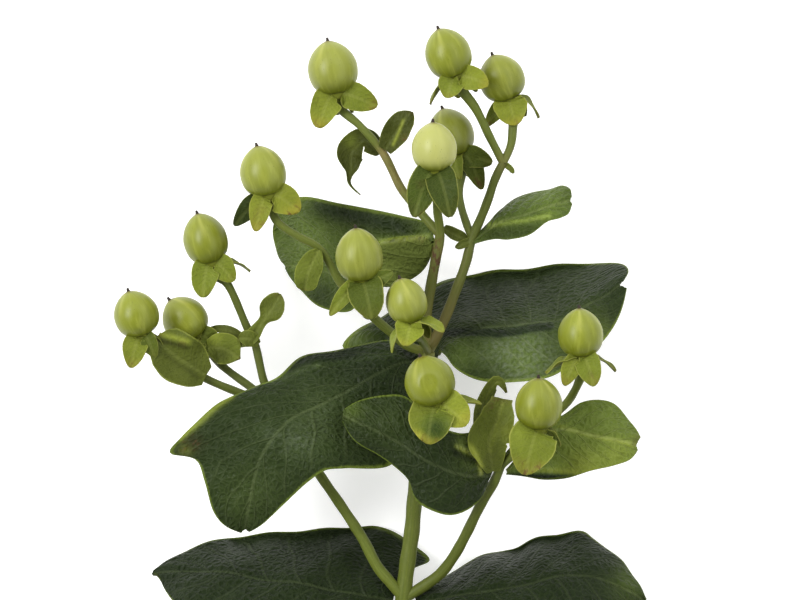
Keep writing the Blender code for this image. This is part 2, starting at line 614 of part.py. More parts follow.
def fused(name, parts):
    """One body from the overlapping ones in parts, each given as vertices and faces."""
    objects = [mesh_object(name if k == 0 else f"{name}_part_{k}", *part) for k, part in enumerate(parts)]
    base, others = objects[0], objects[1:]
    group = bpy.data.collections.new(name + "_parts")
    for other in others:
        group.objects.link(other)
    union = base.modifiers.new("Union", "BOOLEAN")
    union.operation = "UNION"
    union.operand_type = "COLLECTION"
    union.solver = "MANIFOLD"
    union.collection = group
    depsgraph = bpy.context.evaluated_depsgraph_get()
    mesh = bpy.data.meshes.new_from_object(base.evaluated_get(depsgraph))
    base.modifiers.clear()
    base.data = mesh
    mesh.name = name
    for other in others:
        bpy.data.objects.remove(other)
    bpy.data.collections.remove(group)
    body = bmesh.new()
    body.from_mesh(mesh)
    bmesh.ops.remove_doubles(body, verts=body.verts, dist=SHORTEST_EDGE * MM)
    bmesh.ops.dissolve_degenerate(body, edges=body.edges, dist=SHORTEST_EDGE * MM)
    bmesh.ops.triangulate(body, faces=body.faces)
    body.to_mesh(mesh)
    body.free()
    return base


def material(name, colour, roughness):
    """A plain Principled material."""
    made = bpy.data.materials.new(name)
    made.use_nodes = True
    shader = made.node_tree.nodes["Principled BSDF"]
    shader.inputs["Base Color"].default_value = (*colour, 1.0)
    shader.inputs["Roughness"].default_value = roughness
    shader.inputs["Metallic"].default_value = 0.0
    return made


def berry_body(name, berry):
    """An egg-shaped berry on its flat base, with the style's remnant at its tip."""
    axis = berry_axis(berry)
    turns = np.linspace(0.12, 0.96, BERRY_RINGS)
    profile = [(0.0, BERRY_SEAT_RADIUS)]
    for turn in turns:
        angle = np.pi * turn
        height = 0.5 * berry.height * (1 - np.cos(angle))
        belly = np.sin(angle) * (1 + BERRY_BELLY * np.cos(angle))
        profile.append((height, max(0.5 * berry.width * belly, STYLE_RADIUS * 1.6)))
    profile[1:] = [(h, r) for h, r in profile[1:] if h > 0.2]
    profile.append((berry.height, STYLE_RADIUS * 1.3))
    profile.append((berry.height + STYLE_LENGTH, STYLE_RADIUS))
    return mesh_object(name, *join_rings(turned(berry_foot(berry), axis, profile, BERRY_SIDES)))


def calyx_body(name, number):
    """The cup under a berry with its five sepals, grown together."""
    berry = BERRIES[number]
    axis = berry_axis(berry)
    profile = [
        (-GAP - CUP_DEPTH, STALK_RADIUS + 0.1),
        (-GAP - 0.6 * CUP_DEPTH, 0.75 * CUP_RADIUS),
        (-GAP - 0.25 * CUP_DEPTH, CUP_RADIUS),
        (-GAP, CUP_RADIUS * 0.95),
    ]
    parts = [join_rings(turned(berry_foot(berry), axis, profile, CUP_SIDES))]
    for x, y, z, width, open_to_viewer in SEPALS[number] + hidden_tips(berry, SEPALS[number]):
        grid = sepal_grid(berry, (x, y, z), width, open_to_viewer, SEPAL_ROWS)
        parts.append(sheet(grid, SEPAL_THICKNESS))
    return fused(name, parts)


def stem_body():
    """Main stem, branches and berry stalks, grown together."""
    parts = [join_rings(tube(MAIN_STEM.points, MAIN_STEM.radii, MAIN_STEM.sides))]
    for name, branch in BRANCHES.items():
        points, end_axis = list(branch.points), None
        if name.startswith("berry_"):
            berry = BERRIES[name[-2:]]
            end_axis = berry_axis(berry)
            end = berry_foot(berry) - end_axis * (GAP + CUP_DEPTH + GAP)
            points += [end - end_axis * STALK_LEAD, end]
        parts.append(join_rings(tube(points, branch.radii, branch.sides, end_axis)))
    for vertices, _ in parts:
        vertices[:, 2] = np.maximum(vertices[:, 2], 0.0)
    return fused("stem", parts)


def stand_on_origin(objects):
    """Moves every mesh so that the origin lies under the middle of the whole part's box."""
    corners = np.array([v.co[:] for ob in objects for v in ob.data.vertices])
    low, high = corners.min(axis=0), corners.max(axis=0)
    shift = (-(low[0] + high[0]) / 2, -(low[1] + high[1]) / 2, -low[2])
    for ob in objects:
        for vertex in ob.data.vertices:
            vertex.co = [value + move for value, move in zip(vertex.co, shift)]


def build():
    """Makes every piece of the berry stem."""
    for ob in list(bpy.data.objects):
        bpy.data.objects.remove(ob)
    made = {"stem": stem_body()}
    for name, lines in LEAVES.items():
        made[name] = mesh_object(name, *sheet(leaf_grid(lines, LEAF_ROWS, LEAF_COLUMNS), LEAF_THICKNESS))
    for name, bract in BRACTS.items():
        made[name] = mesh_object(name, *sheet(bract_grid(bract, BRACT_ROWS), SEPAL_THICKNESS))
    for number, berry in BERRIES.items():
        made[f"calyx_{number}"] = calyx_body(f"calyx_{number}", number)
        made[f"berry_{number}"] = berry_body(f"berry_{number}", berry)
    for name, ob in made.items():
        colour, roughness = GREENS.get(name, GREENS[name.split("_")[0]])
        ob.data.materials.clear()
        ob.data.materials.append(material(name, colour, roughness))
        if not name.startswith(("leaf", "bract")):
            ob.data.shade_smooth()
            ob.data.set_sharp_from_angle(angle=np.radians(SHARP_ANGLE))
    stand_on_origin(made.values())


build()
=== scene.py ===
"""Looks of the hypericum stem: fine skins with procedural materials, a pale floor, soft light and a camera.

All tables are in millimetres. X runs to the right and Y towards the berries, seen from above, and Z is the
height over the surface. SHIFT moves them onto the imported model.
"""

from collections import namedtuple

import bpy
import numpy as np
from mathutils import Matrix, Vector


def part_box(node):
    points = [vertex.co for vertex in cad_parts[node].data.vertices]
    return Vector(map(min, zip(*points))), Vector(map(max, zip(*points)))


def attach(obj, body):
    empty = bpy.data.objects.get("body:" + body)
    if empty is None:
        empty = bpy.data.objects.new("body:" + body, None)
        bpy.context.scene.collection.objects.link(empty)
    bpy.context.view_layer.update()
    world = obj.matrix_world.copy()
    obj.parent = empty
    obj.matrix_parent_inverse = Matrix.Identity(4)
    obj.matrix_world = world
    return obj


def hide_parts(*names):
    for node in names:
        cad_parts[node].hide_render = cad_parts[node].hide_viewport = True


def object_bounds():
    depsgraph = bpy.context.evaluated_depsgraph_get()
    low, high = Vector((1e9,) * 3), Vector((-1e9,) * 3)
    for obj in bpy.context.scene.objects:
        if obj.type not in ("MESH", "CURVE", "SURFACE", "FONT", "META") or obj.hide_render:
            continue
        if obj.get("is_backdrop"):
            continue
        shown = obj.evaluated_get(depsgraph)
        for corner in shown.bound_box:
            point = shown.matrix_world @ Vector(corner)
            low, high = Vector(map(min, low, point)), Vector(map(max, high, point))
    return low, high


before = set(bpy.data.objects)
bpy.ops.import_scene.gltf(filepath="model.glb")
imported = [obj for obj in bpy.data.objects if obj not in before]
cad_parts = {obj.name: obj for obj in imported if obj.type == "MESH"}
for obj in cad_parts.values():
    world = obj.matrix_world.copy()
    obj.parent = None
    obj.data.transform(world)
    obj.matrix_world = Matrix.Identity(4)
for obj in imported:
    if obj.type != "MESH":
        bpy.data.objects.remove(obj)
CAD_LOW, CAD_HIGH = (np.array(corner, dtype=float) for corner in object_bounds())

MM = 0.001

# Driving dimensions, as in the solids
GAP = 0.3
CUP_RADIUS = 2.2
CUP_DEPTH = 1.9
SEPAL_ROOT_DEPTH = 1.1
SEPAL_ROOT_RADIUS = 1.5
SEPAL_COUNT = 5
HIDDEN_SEPAL_REACH = 4.2
HIDDEN_SEPAL_DROP = 5.6
HIDDEN_SEPAL_WIDTH = 3.6
BERRY_SEAT_RADIUS = 1.6
STALK_RADIUS = 0.85
STALK_LEAD = 2.5
BERRY_BELLY = 0.13
SEPAL_BEND = 0.42
SOLID_BERRY_SIDES = 10
SOLID_BERRY_RINGS = 6
SOLID_BERRY_TURNS = (0.12, 0.96)
SOLID_BERRY_LEAST = 0.51

# Relief, spread and thickness of the fine blades
VEIN_PAIRS = 8
VEIN_SWEEP = 0.24
VEIN_DEPTH = 0.26
MIDRIB_DEPTH = 0.35
LEAF_WAVES = 0.25
LEAF_KEEL = 0.45
BRACT_CUP = 0.1
BRACT_GROOVE = 0.15
BRACT_KEEL = 0.2
BRACT_RIPPLE = 0.05
SEPAL_SPREAD = 1.13
SEPAL_CUP = 0.09
SEPAL_GROOVE = 0.12
SEPAL_KEEL = 0.15
SEPAL_RIPPLE = 0.042
LEAF_BLADE = 0.34
SEPAL_BLADE = 0.4
LOWEST_POINT = 0.02

# Relief of the turned pieces, and the length over which a stalk widens to its calyx
BERRY_LOBES = 0.012
STYLE_LOBES = 0.12
STEM_RIDGES = 0.07
STEM_WAVES = 0.03
STALK_FLARE = 0.28
STALK_FLARE_LENGTH = 9.0

# Rows along and columns across a blade, or rings and sides of a turned body
LARGE_LEAF_GRID = (110, 72)
SMALLER_LEAF_GRID = (72, 48)
BRACT_GRID = (40, 20)
SEPAL_GRID = (36, 18)
BERRY_GRID = (64, 72)
CUP_GRID = (16, 40)
STYLE_SIDES = 14
STEM_SIDES = 28
STEM_STEP = 0.7
PROFILE_POINTS = 200

# Angles over which an edge stays sharp, in degrees
BLADE_SHARP = 45
TURNED_SHARP = 60

# lean and tilt are in degrees, light is a brightness, pale and deep say how far a surface goes to that
# green. For some berries and stalks the brightness is also painted light, raised to lift the shade on them
Berry = namedtuple("Berry", "centre width height lean tilt light pale")
Branch = namedtuple("Branch", "points radii light", defaults=[0.92])
Bract = namedtuple("Bract", "points widths light deep up", defaults=[(0, 0, 1)])

BERRIES = {
    "01": Berry((-16.3, 55.9, 30), 12, 12.7, 10, 5, 1, 0.15),
    "02": Berry((-32.9, 31, 38), 11, 12, 13, 5, 1, 0.1),
    "03": Berry((-46.9, 14.9, 27), 10.6, 12.2, 17, 5, 0.95, 0),
    "04": Berry((-63.4, -3.1, 33), 10.8, 11, 18, 8, 0.95, 0),
    # brightness raised to lift the shade on this berry's side: painted light
    "05": Berry((-52, -4.3, 22), 10.8, 11, 38, 5, 1.08, 0.05),
    "06": Berry((11.3, 59.3, 35), 11, 12, 21, 5, 0.98, 0),
    "07": Berry((24.2, 53.5, 28), 11, 11.3, 21, 5, 0.95, 0.05),
    "08": Berry((8.2, 36.7, 43), 10.8, 11.6, 3, 8, 1.08, 0.75),
    "09": Berry((12, 40.3, 24), 11, 11.8, 18, 0, 0.85, 0.1),
    "10": Berry((-9.8, 10.9, 46), 11.3, 12.7, 7, 8, 0.95, 0.1),
    "11": Berry((1.4, 0, 46), 9.8, 10.8, 16, 10, 1.05, 0.15),
    "12": Berry((6.8, -19, 51), 12, 11.9, 20, 12, 0.92, 0),
    "13": Berry((33.1, -24.5, 50), 11.3, 12.2, 1, 14, 0.92, 0),
    "14": Berry((43.1, -7.7, 42), 10.8, 11.5, 3, 6, 1, 0),
}

# Sepals: tip from the berry's foot, width, and 1 for a blade that lies open to the viewer or 0 for another.
# The rest of a calyx's five come from hidden_sepals.
SEPALS = {
    "01": [(-4.5, -8.4, 2, 6.5, 1), (9.7, -3.3, 1, 6, 1)],
    "02": [(-8.1, -7.4, -1, 4.3, 1), (-2.8, -8.8, 3, 4.8, 1), (7.5, -4, 1, 6.5, 1)],
    "03": [(-2.1, -8.5, 2, 6, 1), (5.1, -4.7, 2, 5.3, 1), (9.1, -2.3, -1, 5.2, 0)],
    "04": [(-2.7, -8, 2, 5.3, 1), (3.1, -5.6, 1.2, 3.6, 1)],
    "05": [(-0.4, -5.3, 2, 4.8, 1), (5.4, -3.8, 1, 4.8, 1)],
    "06": [(-6.2, -6.9, -1, 5.2, 0), (-2.2, -5.4, 3, 5.5, 1), (7.7, -2.3, 3, 5.3, 1)],
    "07": [(-5.4, -6.5, 1, 3.4, 1), (1.6, -6.3, 3, 7.2, 1), (7.1, -4.6, 0, 5.2, 0)],
    "08": [(-5.1, -11.2, 2.4, 6.7, 1), (3.5, -11.2, 4.6, 6.7, 1)],
    "09": [(8.3, -1.8, 2, 4.8, 1), (5.9, -8.1, 1, 4.6, 1)],
    "10": [(-7.7, -8.4, 2, 3.6, 1), (2.3, -9.2, 4, 7.9, 1), (7.4, 2, 3, 3.6, 1)],
    "11": [(-4.8, -7.5, 0, 5.2, 0), (-1.5, -5.8, 5, 6.2, 1), (7.6, -2.5, 2, 5.2, 0)],
    "12": [
        (-4.8, -4.3, 0, 3.4, 1), (-2.2, -9.8, 4, 9.6, 1), (7.2, -5.2, 3, 7.9, 1), (10.6, -0.4, 0, 5.2, 0),
        (-5.5, -3, -3, 4, 0),
    ],
    "13": [
        (-3.5, -11.2, 4, 10.1, 1), (-6.8, -2.4, 1, 5.2, 1), (5, -4.5, -1.5, 4, 0), (3.2, -2, -4.6, 4, 0),
        (-3.6, -1, -4.2, 4, 0),
    ],
    "14": [(-8.6, -4.1, 1, 5.2, 0), (-4.3, -7, 3, 4.3, 1), (2.9, -7.2, 3, 5.5, 1), (8.2, -3.6, 0, 5.2, 0)],
}

# Looks of these sepals, in the same order: brightness, yellowing and browning of the tip, deep green
SEPAL_LOOKS = {
    "01": [(1, 0.6, 0.5, 0.2), (0.95, 0.3, 0.5, 0.3)],
    "02": [(0.55, 0, 0.1, 0.95), (0.95, 0.7, 0.9, 0.1), (1, 0.8, 0.7, 0.2)],
    "03": [(1, 0.1, 0.1, 0.2), (1, 0.2, 0.2, 0.2), (0.95, 0.1, 0.1, 0.3)],
    "04": [(0.95, 0.5, 0.6, 0.3), (0.8, 0.1, 0.2, 0.6)],
    "05": [(0.8, 0.2, 0.3, 0.6), (0.8, 0.2, 0.2, 0.6)],
    "06": [(0.8, 0.3, 0.7, 0.3), (1, 0.3, 0.3, 0.2), (1, 0.6, 0.4, 0.1)],
    "07": [(0.85, 0.1, 0.8, 0.3), (1, 0.7, 0.4, 0.2), (0.8, 0.2, 0.9, 0.4)],
    "08": [(0.95, 0, 0.3, 0.85), (0.75, 0.1, 0.1, 0.95)],
    "09": [(0.9, 0.1, 0.2, 0.75), (0.75, 0.1, 0.9, 0.7)],
    "10": [(1, 0.2, 0.1, 0.35), (0.85, 0.1, 0.2, 0.75), (0.85, 0, 0, 0.6)],
    "11": [(1.1, 0.2, 0, 0), (1.1, 0.4, 0.2, 0), (1.1, 0.3, 0.1, 0)],
    "12": [
        (0.9, 0.1, 0.1, 0.5), (1, 0.55, 0.5, 0.45), (1.05, 0.5, 0.2, 0), (1, 0.3, 0.2, 0.3),
        (0.8, 0.1, 0.1, 0.4),
    ],
    "13": [
        (1, 0.3, 0.7, 0.35), (1, 0.4, 0.2, 0.2), (0.8, 0.1, 0.2, 0.4), (0.8, 0.1, 0.1, 0.4),
        (0.8, 0.1, 0.1, 0.4),
    ],
    "14": [(0.95, 0.2, 0.2, 0.3), (1, 0.6, 0.4, 0.2), (1, 0.2, 0.6, 0.2), (0.8, 0.1, 0.3, 0.6)],
}
HIDDEN_SEPAL_LOOK = (0.85, 0.2, 0.2, 0.4)
CUP_LOOK = (0.85, 0.2, 0.12, 0.35)

# Patches on the sepals: middle in X and Y, reach, and the changes of those four values
SEPAL_PATCHES = {
    "01": [((-14.8, 43.5), 1.6, (0.15, 0, 0, 0)), ((-19.2, 41.9), 1, (0, 0.3, 0.4, 0))],
    "02": [((-33.4, 21), 1.6, (0, 0.1, 0.5, 0)), ((-26.8, 20.6), 1.6, (0, 0.3, 0.35, 0))],
    "08": [((4.8, 27.5), 1, (-0.1, 0, 0.5, 0)), ((14.3, 24.2), 0.7, (-0.1, 0, 0.6, 0))],
    "12": [
        ((8.6, -30.6), 2.9, (-0.1, -0.6, -0.3, 0.6)), ((3.9, -32.6), 1.5, (0.35, 0.3, 0.1, -0.45)),
        ((6.5, -33.6), 1, (0, 0.1, 0.5, -0.3)), ((14.5, -27.5), 1.5, (0.1, 0.2, 0, 0)),
    ],
    "13": [((29, -31), 2, (0.15, 0, 0, -0.1)), ((34, -40), 1.4, (0, 0.2, 0.5, 0))],
    "14": [((45.6, -17.6), 0.7, (-0.1, 0, 0.7, 0)), ((42.5, -21.5), 0.8, (0, 0, 0.5, 0))],
}

# Places where branches meet
LOW_FORK = (0.7, -72, 15.5)
MAIN_FORK = (6.7, -12.5, 27)
LEFT_FORK = (-30, -25.2, 22.5)
RIGHT_FORK = (24, -39.8, 36)
CENTRE_FORK = (9.6, 15.6, 33)
UPPER_FORK = (24.7, 32.9, 31)

# Middle lines of the stem and its branches, the radii at both ends and the brightness where it isn't 0.92. A
# branch that names a berry runs on to the foot of that berry's cup.
BRANCHES = {
    "main": Branch([
        (-4.8, -153.6, 2.1), (-3.4, -127.2, 4.6), (-1, -93.6, 10.5), LOW_FORK, (1.7, -64.1, 17),
        (2.9, -55.4, 18.5), (3.4, -49.2, 20), (4.8, -33.6, 23.5), MAIN_FORK,
    ], (2.1, 1.6), 1),
    "left": Branch([
        (0.7, -71.5, 15.5), (-2.4, -67.9, 17), (-5.5, -64.1, 17.5), (-8.9, -57.6, 18.5),
        (-13.9, -49.9, 19.5), (-19.2, -42.2, 20.5), (-24.7, -33.6, 21.5), LEFT_FORK,
    ], (1.3, 1), 1.15),
    "right": Branch([
        LOW_FORK, (7.2, -67.9, 17), (10.1, -65.5, 18.5), (13.2, -61.2, 21.5), (15.8, -56.4, 25),
        (19.2, -49.4, 29.5), (22.6, -43.4, 34), RIGHT_FORK,
    ], (1.3, 1.1), 0.85),
    "upper": Branch([
        MAIN_FORK, (10.3, -5.5, 29), (13, 1.2, 30), (15.8, 8.9, 31), (17.3, 14.9, 31.5), (19.2, 19.2, 31.5),
        (21.1, 24, 31), (22.8, 29, 31), UPPER_FORK,
    ], (1.2, 0.95), 0.76),
    "centre": Branch([
        MAIN_FORK, (6.2, -4.6, 29), (7.2, 2.2, 30.5), (8.4, 8.9, 32), CENTRE_FORK,
    ], (1.3, 1.1), 0.76),
    "berry_01": Branch([
        CENTRE_FORK, (4.8, 21.1, 31), (0.5, 26.4, 30), (-4.1, 35.3, 30), (-9.4, 41.6, 30),
    ], (1, 0.85), 0.98),
    "berry_02": Branch([
        MAIN_FORK, (1.9, -11, 28.5), (-1.4, -8.4, 29.5), (-6.2, -4.3, 31), (-11.5, 1, 33), (-14.6, 4.6, 34),
        (-19.2, 12.2, 35), (-24.7, 15.4, 36), (-29.3, 18.7, 37),
    ], (1.1, 0.85), 1),
    "berry_03": Branch([
        LEFT_FORK, (-32.6, -19.9, 22.5), (-35, -10.1, 23.5), (-36.7, -6.7, 24), (-41.8, 4.3, 26),
    ], (0.95, 0.85), 0.76),
    "berry_04": Branch([
        LEFT_FORK, (-39.1, -22.1, 24), (-47, -18.7, 25.5), (-55.2, -13.9, 28),
    ], (0.95, 0.85), 0.72),
    "berry_05": Branch([LEFT_FORK, (-36, -20.9, 21), (-43, -15.6, 20.5)], (0.95, 0.85), 0.72),
    "berry_06": Branch([UPPER_FORK, (21.6, 38.9, 32), (18, 46.1, 33)], (0.9, 1)),
    "berry_07": Branch([UPPER_FORK, (26.6, 37.2, 30), (27.1, 41.8, 29)], (0.9, 1)),
    "berry_08": Branch([(8.4, 8.9, 32), (9.6, 15.6, 33.5), (8.9, 21.6, 36.5)], (1.1, 0.85)),
    "berry_09": Branch([(17.3, 14.9, 31.5), (15.8, 18.7, 30), (14.2, 25.2, 27)], (0.9, 0.85), 0.8),
    "berry_10": Branch([(-6.8, -3.7, 31.2), (-8.4, -3.2, 37)], (0.9, 0.85)),
    "berry_11": Branch([MAIN_FORK, (6, -11, 32), (4.8, -9.1, 38)], (1, 0.9)),
    "berry_12": Branch([(5.8, -22.8, 25.5), (6.7, -24.5, 34), (8.6, -26.4, 43)], (1, 0.9)),
    "berry_13": Branch([RIGHT_FORK, (27.2, -36.9, 41), (31, -34.6, 45)], (1, 0.9)),
    # brightness raised to lift the shade on this stalk: painted light
    "berry_14": Branch([
        RIGHT_FORK, (29, -34, 34.2), (34.5, -29.3, 33), (40.1, -24.5, 33.5),
    ], (1, 0.9), 1.05),
}

# Tan and reddish places on the stems: middle, reach, how tan, how red
STEM_MARKS = [
    ((-3.8, 35.3, 30), 2, 1, 0.2), ((-1, 29.5, 30), 5, 0.7, 0.5), ((9.8, 10.5, 32.5), 5, 0.3, 1),
    ((11.5, -3, 29.5), 6, 0.6, 0.1), ((8.5, -9, 28.5), 4, 0.7, 0.1), (UPPER_FORK, 3, 0.35, 0),
    ((-12.5, 2, 33), 2.5, 0.3, 0.5),
]

# Large leaves: the far edge, the midrib and the near edge, each from the root to the notch at the tip
LEAVES = {
    "leaf_upper_left": ([
        (4.2, -13.7, 24.3), (-0.7, -9.8, 24), (-14.6, -12, 25), (-24, -13.9, 27), (-30.7, -19.4, 29),
        (-40.6, -23, 31), (-46.8, -27.4, 32), (-52.1, -32.6, 30), (-55.2, -36.6, 27.4), (-48.9, -38.4, 31),
        (-46.8, -43.2, 33), (-44.9, -50.4, 32), (-42, -54, 30), (-38.2, -55.9, 28.5),
    ], [
        (4, -14.9, 25.8), (-0.7, -15.4, 30.5), (-16.1, -23.8, 35), (-26.4, -28.8, 38), (-33.1, -37.2, 38),
        (-36, -48, 34), (-37.2, -55.2, 29),
    ], [
        (4.1, -16.4, 27.3), (3.9, -24, 31), (1.9, -33.6, 33), (-2.4, -39.6, 34), (-13.2, -40.3, 37),
        (-18, -40.8, 38), (-21.6, -43.2, 38), (-27.6, -48.7, 36), (-33.1, -54, 31), (-36.2, -55.7, 29),
    ]),
    "leaf_upper_right": ([
        (9.1, -13.9, 23.5), (6, -17.3, 19), (0, -15.8, 14), (-8.4, -13.9, 10), (-13.9, -11.3, 8),
        (-9.1, -6.7, 6), (-3.8, -3.8, 4.5), (9.4, 3.8, 1), (24, 7.2, -3.2), (38.4, 8.4, -3), (48, 8.9, 1.5),
        (54, 8.6, 7), (55.2, 6.7, 11), (53.8, 4.3, 14),
    ], [
        (9.1, -13, 25.5), (12, -9.6, 24.5), (22.3, -6.2, 23), (37.7, -4.8, 20.5), (45.6, -1.2, 18),
        (53, 3.6, 15),
    ], [
        (9.4, -12, 27), (11, -13.4, 28), (13.2, -16.3, 29), (18, -19, 30), (24, -19.7, 31),
        (31.2, -19.4, 31), (37.2, -18, 30), (42, -15.1, 29), (48, -10.8, 26), (50.9, -7.2, 23),
        (53.3, -2.4, 19), (54.7, 2.6, 16),
    ]),
    "leaf_lower_left": ([
        (-1, -70.3, 14), (2.4, -65.3, 10), (7.2, -62.9, 5), (4.6, -60.2, 3), (0.7, -57.4, 1.5),
        (-3.6, -55.7, 0.6), (-7.7, -54.7, -1.4), (-14.4, -55, -3.2), (-25.9, -56.2, -3.8),
        (-37.2, -56.9, -2), (-43.2, -57.8, 1.2), (-49.9, -59.8, 3), (-55.2, -62.6, 5), (-59.5, -65.5, 7),
    ], [
        (-1.7, -72.5, 15.5), (-7.2, -71.3, 18), (-19.2, -69.1, 18), (-33.6, -67, 16), (-48, -65.3, 12),
        (-60, -66, 8),
    ], [
        (-1, -74.2, 17), (-6.7, -78.7, 24), (-14.4, -82.8, 28), (-24, -85.2, 30), (-33.6, -85.2, 30),
        (-42, -82.8, 28), (-49.2, -78, 24), (-55.2, -72, 16), (-58.6, -66.7, 9),
    ]),
    "leaf_lower_right": ([
        (3.4, -71, 13.8), (6, -67.2, 11), (9.4, -67.4, 9), (15.8, -63.6, 4), (20.9, -61.4, 1.2),
        (25.2, -60.5, -0.6), (28.6, -60, -2.6), (33.8, -57.6, -3.2), (38.2, -56.9, -2.4),
        (44.2, -56.2, 0.4), (46.6, -57.6, 2), (50.2, -60.7, 4), (54.2, -63.4, 6), (56.9, -67.4, 8),
        (59.5, -72, 11),
    ], [
        (3.9, -73.1, 15.3), (8.2, -72.2, 17.5), (16.8, -70.6, 19), (25.2, -69.4, 19), (33.8, -67.4, 18),
        (40.6, -66.5, 16), (48.2, -67, 14), (59.3, -73.2, 11),
    ], [
        (3.2, -75, 16.9), (6.3, -78.3, 23), (12, -82.8, 28), (21.6, -86.4, 31), (31.2, -87.6, 31),
        (40.8, -86.4, 28), (49.2, -83.5, 23), (56.4, -78.7, 16), (59.8, -74.4, 12),
    ]),
    "leaf_centre": ([
        (7.9, 15, 31.3), (7.2, 18.2, 27), (0, 20.4, 22), (-14.4, 23.3, 14), (-24, 25, 6), (-28.8, 22.8, 0),
        (-30.7, 18, -1.8), (-30, 12, 2), (-28.6, 9.1, 7),
    ], [
        (7.9, 14.1, 31.4), (4.8, 7.7, 27.5), (-1.2, 4.3, 25), (-12, 5.3, 21), (-21.6, 7.7, 14),
        (-27.8, 8.2, 9),
    ], [
        (7.5, 13.2, 30.9), (6.4, 15, 31.2), (1.2, 15.4, 31.5), (-5.3, 13.9, 31), (-7.7, 9.1, 28),
        (-8.6, 2.4, 25), (-12, -2.6, 22), (-18.7, -1.9, 18), (-24, 2.4, 13), (-27.1, 6.7, 10),
    ]),
    "leaf_upper_small": ([
        (17.6, 15, 31), (24.2, 21.4, 28), (27.8, 24.5, 26), (35.5, 26.4, 25), (38.9, 27.8, 25),
        (41, 26.9, 27), (41.5, 25, 28),
    ], [
        (17.6, 14.2, 31.8), (24, 18.7, 33), (28.6, 20.4, 34), (34.8, 22.3, 33), (41, 24, 29.5),
    ], [
        (17.7, 13.4, 32.5), (22.8, 14.6, 34), (25.9, 14.4, 35), (31, 15.6, 35.5), (35.3, 18.7, 35),
        (38.2, 19.4, 34), (40.3, 20.6, 32), (41.3, 23, 30.5),
    ]),
    "leaf_front": ([
        (22.3, -40.8, 37.2), (21, -36.4, 37.6), (18.2, -32, 38.4), (13.9, -31.8, 40.8), (7.2, -28.8, 41),
        (1.2, -23, 40), (-3.8, -22.8, 39), (-9.8, -24, 39), (-13.4, -26.4, 40),
    ], [
        (21.7, -42, 36.5), (14.9, -41.8, 42), (7.2, -38.9, 44), (-1.2, -33.6, 43), (-8.4, -30, 42),
        (-13.7, -27.6, 41),
    ], [
        (21.1, -43.1, 35.9), (19.7, -47, 38), (16.6, -49.9, 39), (12.2, -51.6, 40), (7.9, -50.4, 41),
        (3.6, -47.5, 41), (1.4, -42.2, 41), (-5.3, -37, 41.5), (-11, -33.4, 42), (-13.7, -29, 41.5),
    ]),
    "leaf_right": ([
        (25.9, -40.5, 36.6), (29.2, -35.4, 37.2), (33.6, -30.4, 36.8), (38.2, -27.8, 36), (43.7, -24.5, 35),
        (50.9, -24.7, 34), (55.7, -29.5, 34), (57.6, -32.9, 35),
    ], [
        (25.6, -41.1, 36), (30.5, -36.4, 38), (37.7, -31.2, 39.2), (48, -32.6, 39), (56.6, -34.8, 36.5),
    ], [
        (25.4, -41.8, 35.6), (29.5, -42.2, 37.5), (34.3, -43, 38.5), (39.8, -42.6, 40), (45.8, -40.8, 41.5),
        (51.6, -39.4, 40.5), (55, -38.2, 39), (56.9, -36, 37.3),
    ]),
}

# Shorter leaves, built on the smaller grid
SMALLER_LEAVES = ("leaf_upper_small", "leaf_right", "leaf_front", "leaf_centre")

# Small leaves at the forks: midrib, widths along it, brightness, deep green and the side they turn up
BRACTS = {
    "bract_01_right": Bract([
        (-3.6, 36, 31), (-1.2, 39.8, 32), (2.6, 45.2, 33),
    ], (3.6, 6.6, 3), 0.72, 1, (0, 0.3, 1)),
    "bract_01_left": Bract([
        (-5.2, 34.9, 28.9), (-8.5, 38, 27.5), (-11.6, 35.4, 26.5), (-11.9, 31.6, 26.5), (-12.3, 28.2, 27),
        (-9.6, 25.4, 28.5),
    ], (1.9, 6.4, 7.4, 4.4, 1, 0.6), 0.66, 1, (0.3, 0.3, 1)),
    "bract_02": Bract([(-19.4, 12, 36.2), (-21.6, 7.7, 36.8), (-22.8, 2.2, 34.5)], (1.5, 6, 5), 1, 0.4),
    "bract_03_right": Bract([
        (-38.6, -10.8, 24.9), (-35.5, -8.6, 25.9), (-33.4, -5.8, 26.4), (-30.7, -1.9, 27),
        (-28.9, 1.5, 27.4),
    ], (1.4, 3.6, 2.2, 6, 5), 0.95, 0.6),
    "bract_03_left": Bract([
        (-37, -9.9, 23.1), (-40.6, -7.6, 23.4), (-46, -6.8, 21.5),
    ], (1.7, 2.4, 1), 0.8, 0.8, (0, 0.3, 1)),
    "bract_03_low": Bract([
        (-34, -10.6, 25.4), (-36.5, -9.2, 26.3), (-39, -9.5, 26),
    ], (1.5, 4, 1), 0.9, 0.6),
    "bract_04": Bract([
        (-46.6, -18.2, 28.2), (-52, -14.6, 31), (-58.8, -9.6, 32.6),
    ], (5, 12.4, 9), 0.85, 0.75, (0, 0.2, 1)),
    "bract_05": Bract([
        (-46.2, -11.4, 23.9), (-42.6, -11.6, 25), (-38.4, -14.2, 24.8),
    ], (3.6, 8, 1), 1, 0.45),
    "bract_06": Bract([(25, 32.6, 31), (26.4, 31.6, 31), (27.3, 30.4, 31)], (1.4, 1.4, 0.8), 0.9, 0.5),
    "bract_08": Bract([
        (10.6, 17.3, 32.4), (13.2, 15.8, 31.2), (16.2, 14.3, 30.4),
    ], (1.8, 3, 1.8), 0.8, 0.8),
    "bract_09": Bract([(16.8, 14.3, 32), (15, 13.3, 32.4), (13.2, 12.6, 32.2)], (1.6, 2, 0.8), 0.8, 0.8),
    "bract_13_thin": Bract([
        (22.2, -38.9, 35.4), (19.9, -31.2, 35.2), (19.8, -25, 37), (23.2, -19.4, 38.5), (25.6, -22.2, 37),
    ], (1.9, 5.3, 4.8, 3.4, 1.2), 0.95, 0.55, (0.6, 0, 1)),
    "bract_13_wide": Bract([
        (22.3, -41, 37.3), (21.6, -37.2, 41), (21.2, -33.6, 42.4), (23.2, -28.6, 42.6), (24.5, -23.6, 41.5),
    ], (3.2, 6.8, 10, 8.4, 7), 0.95, 0.5),
}


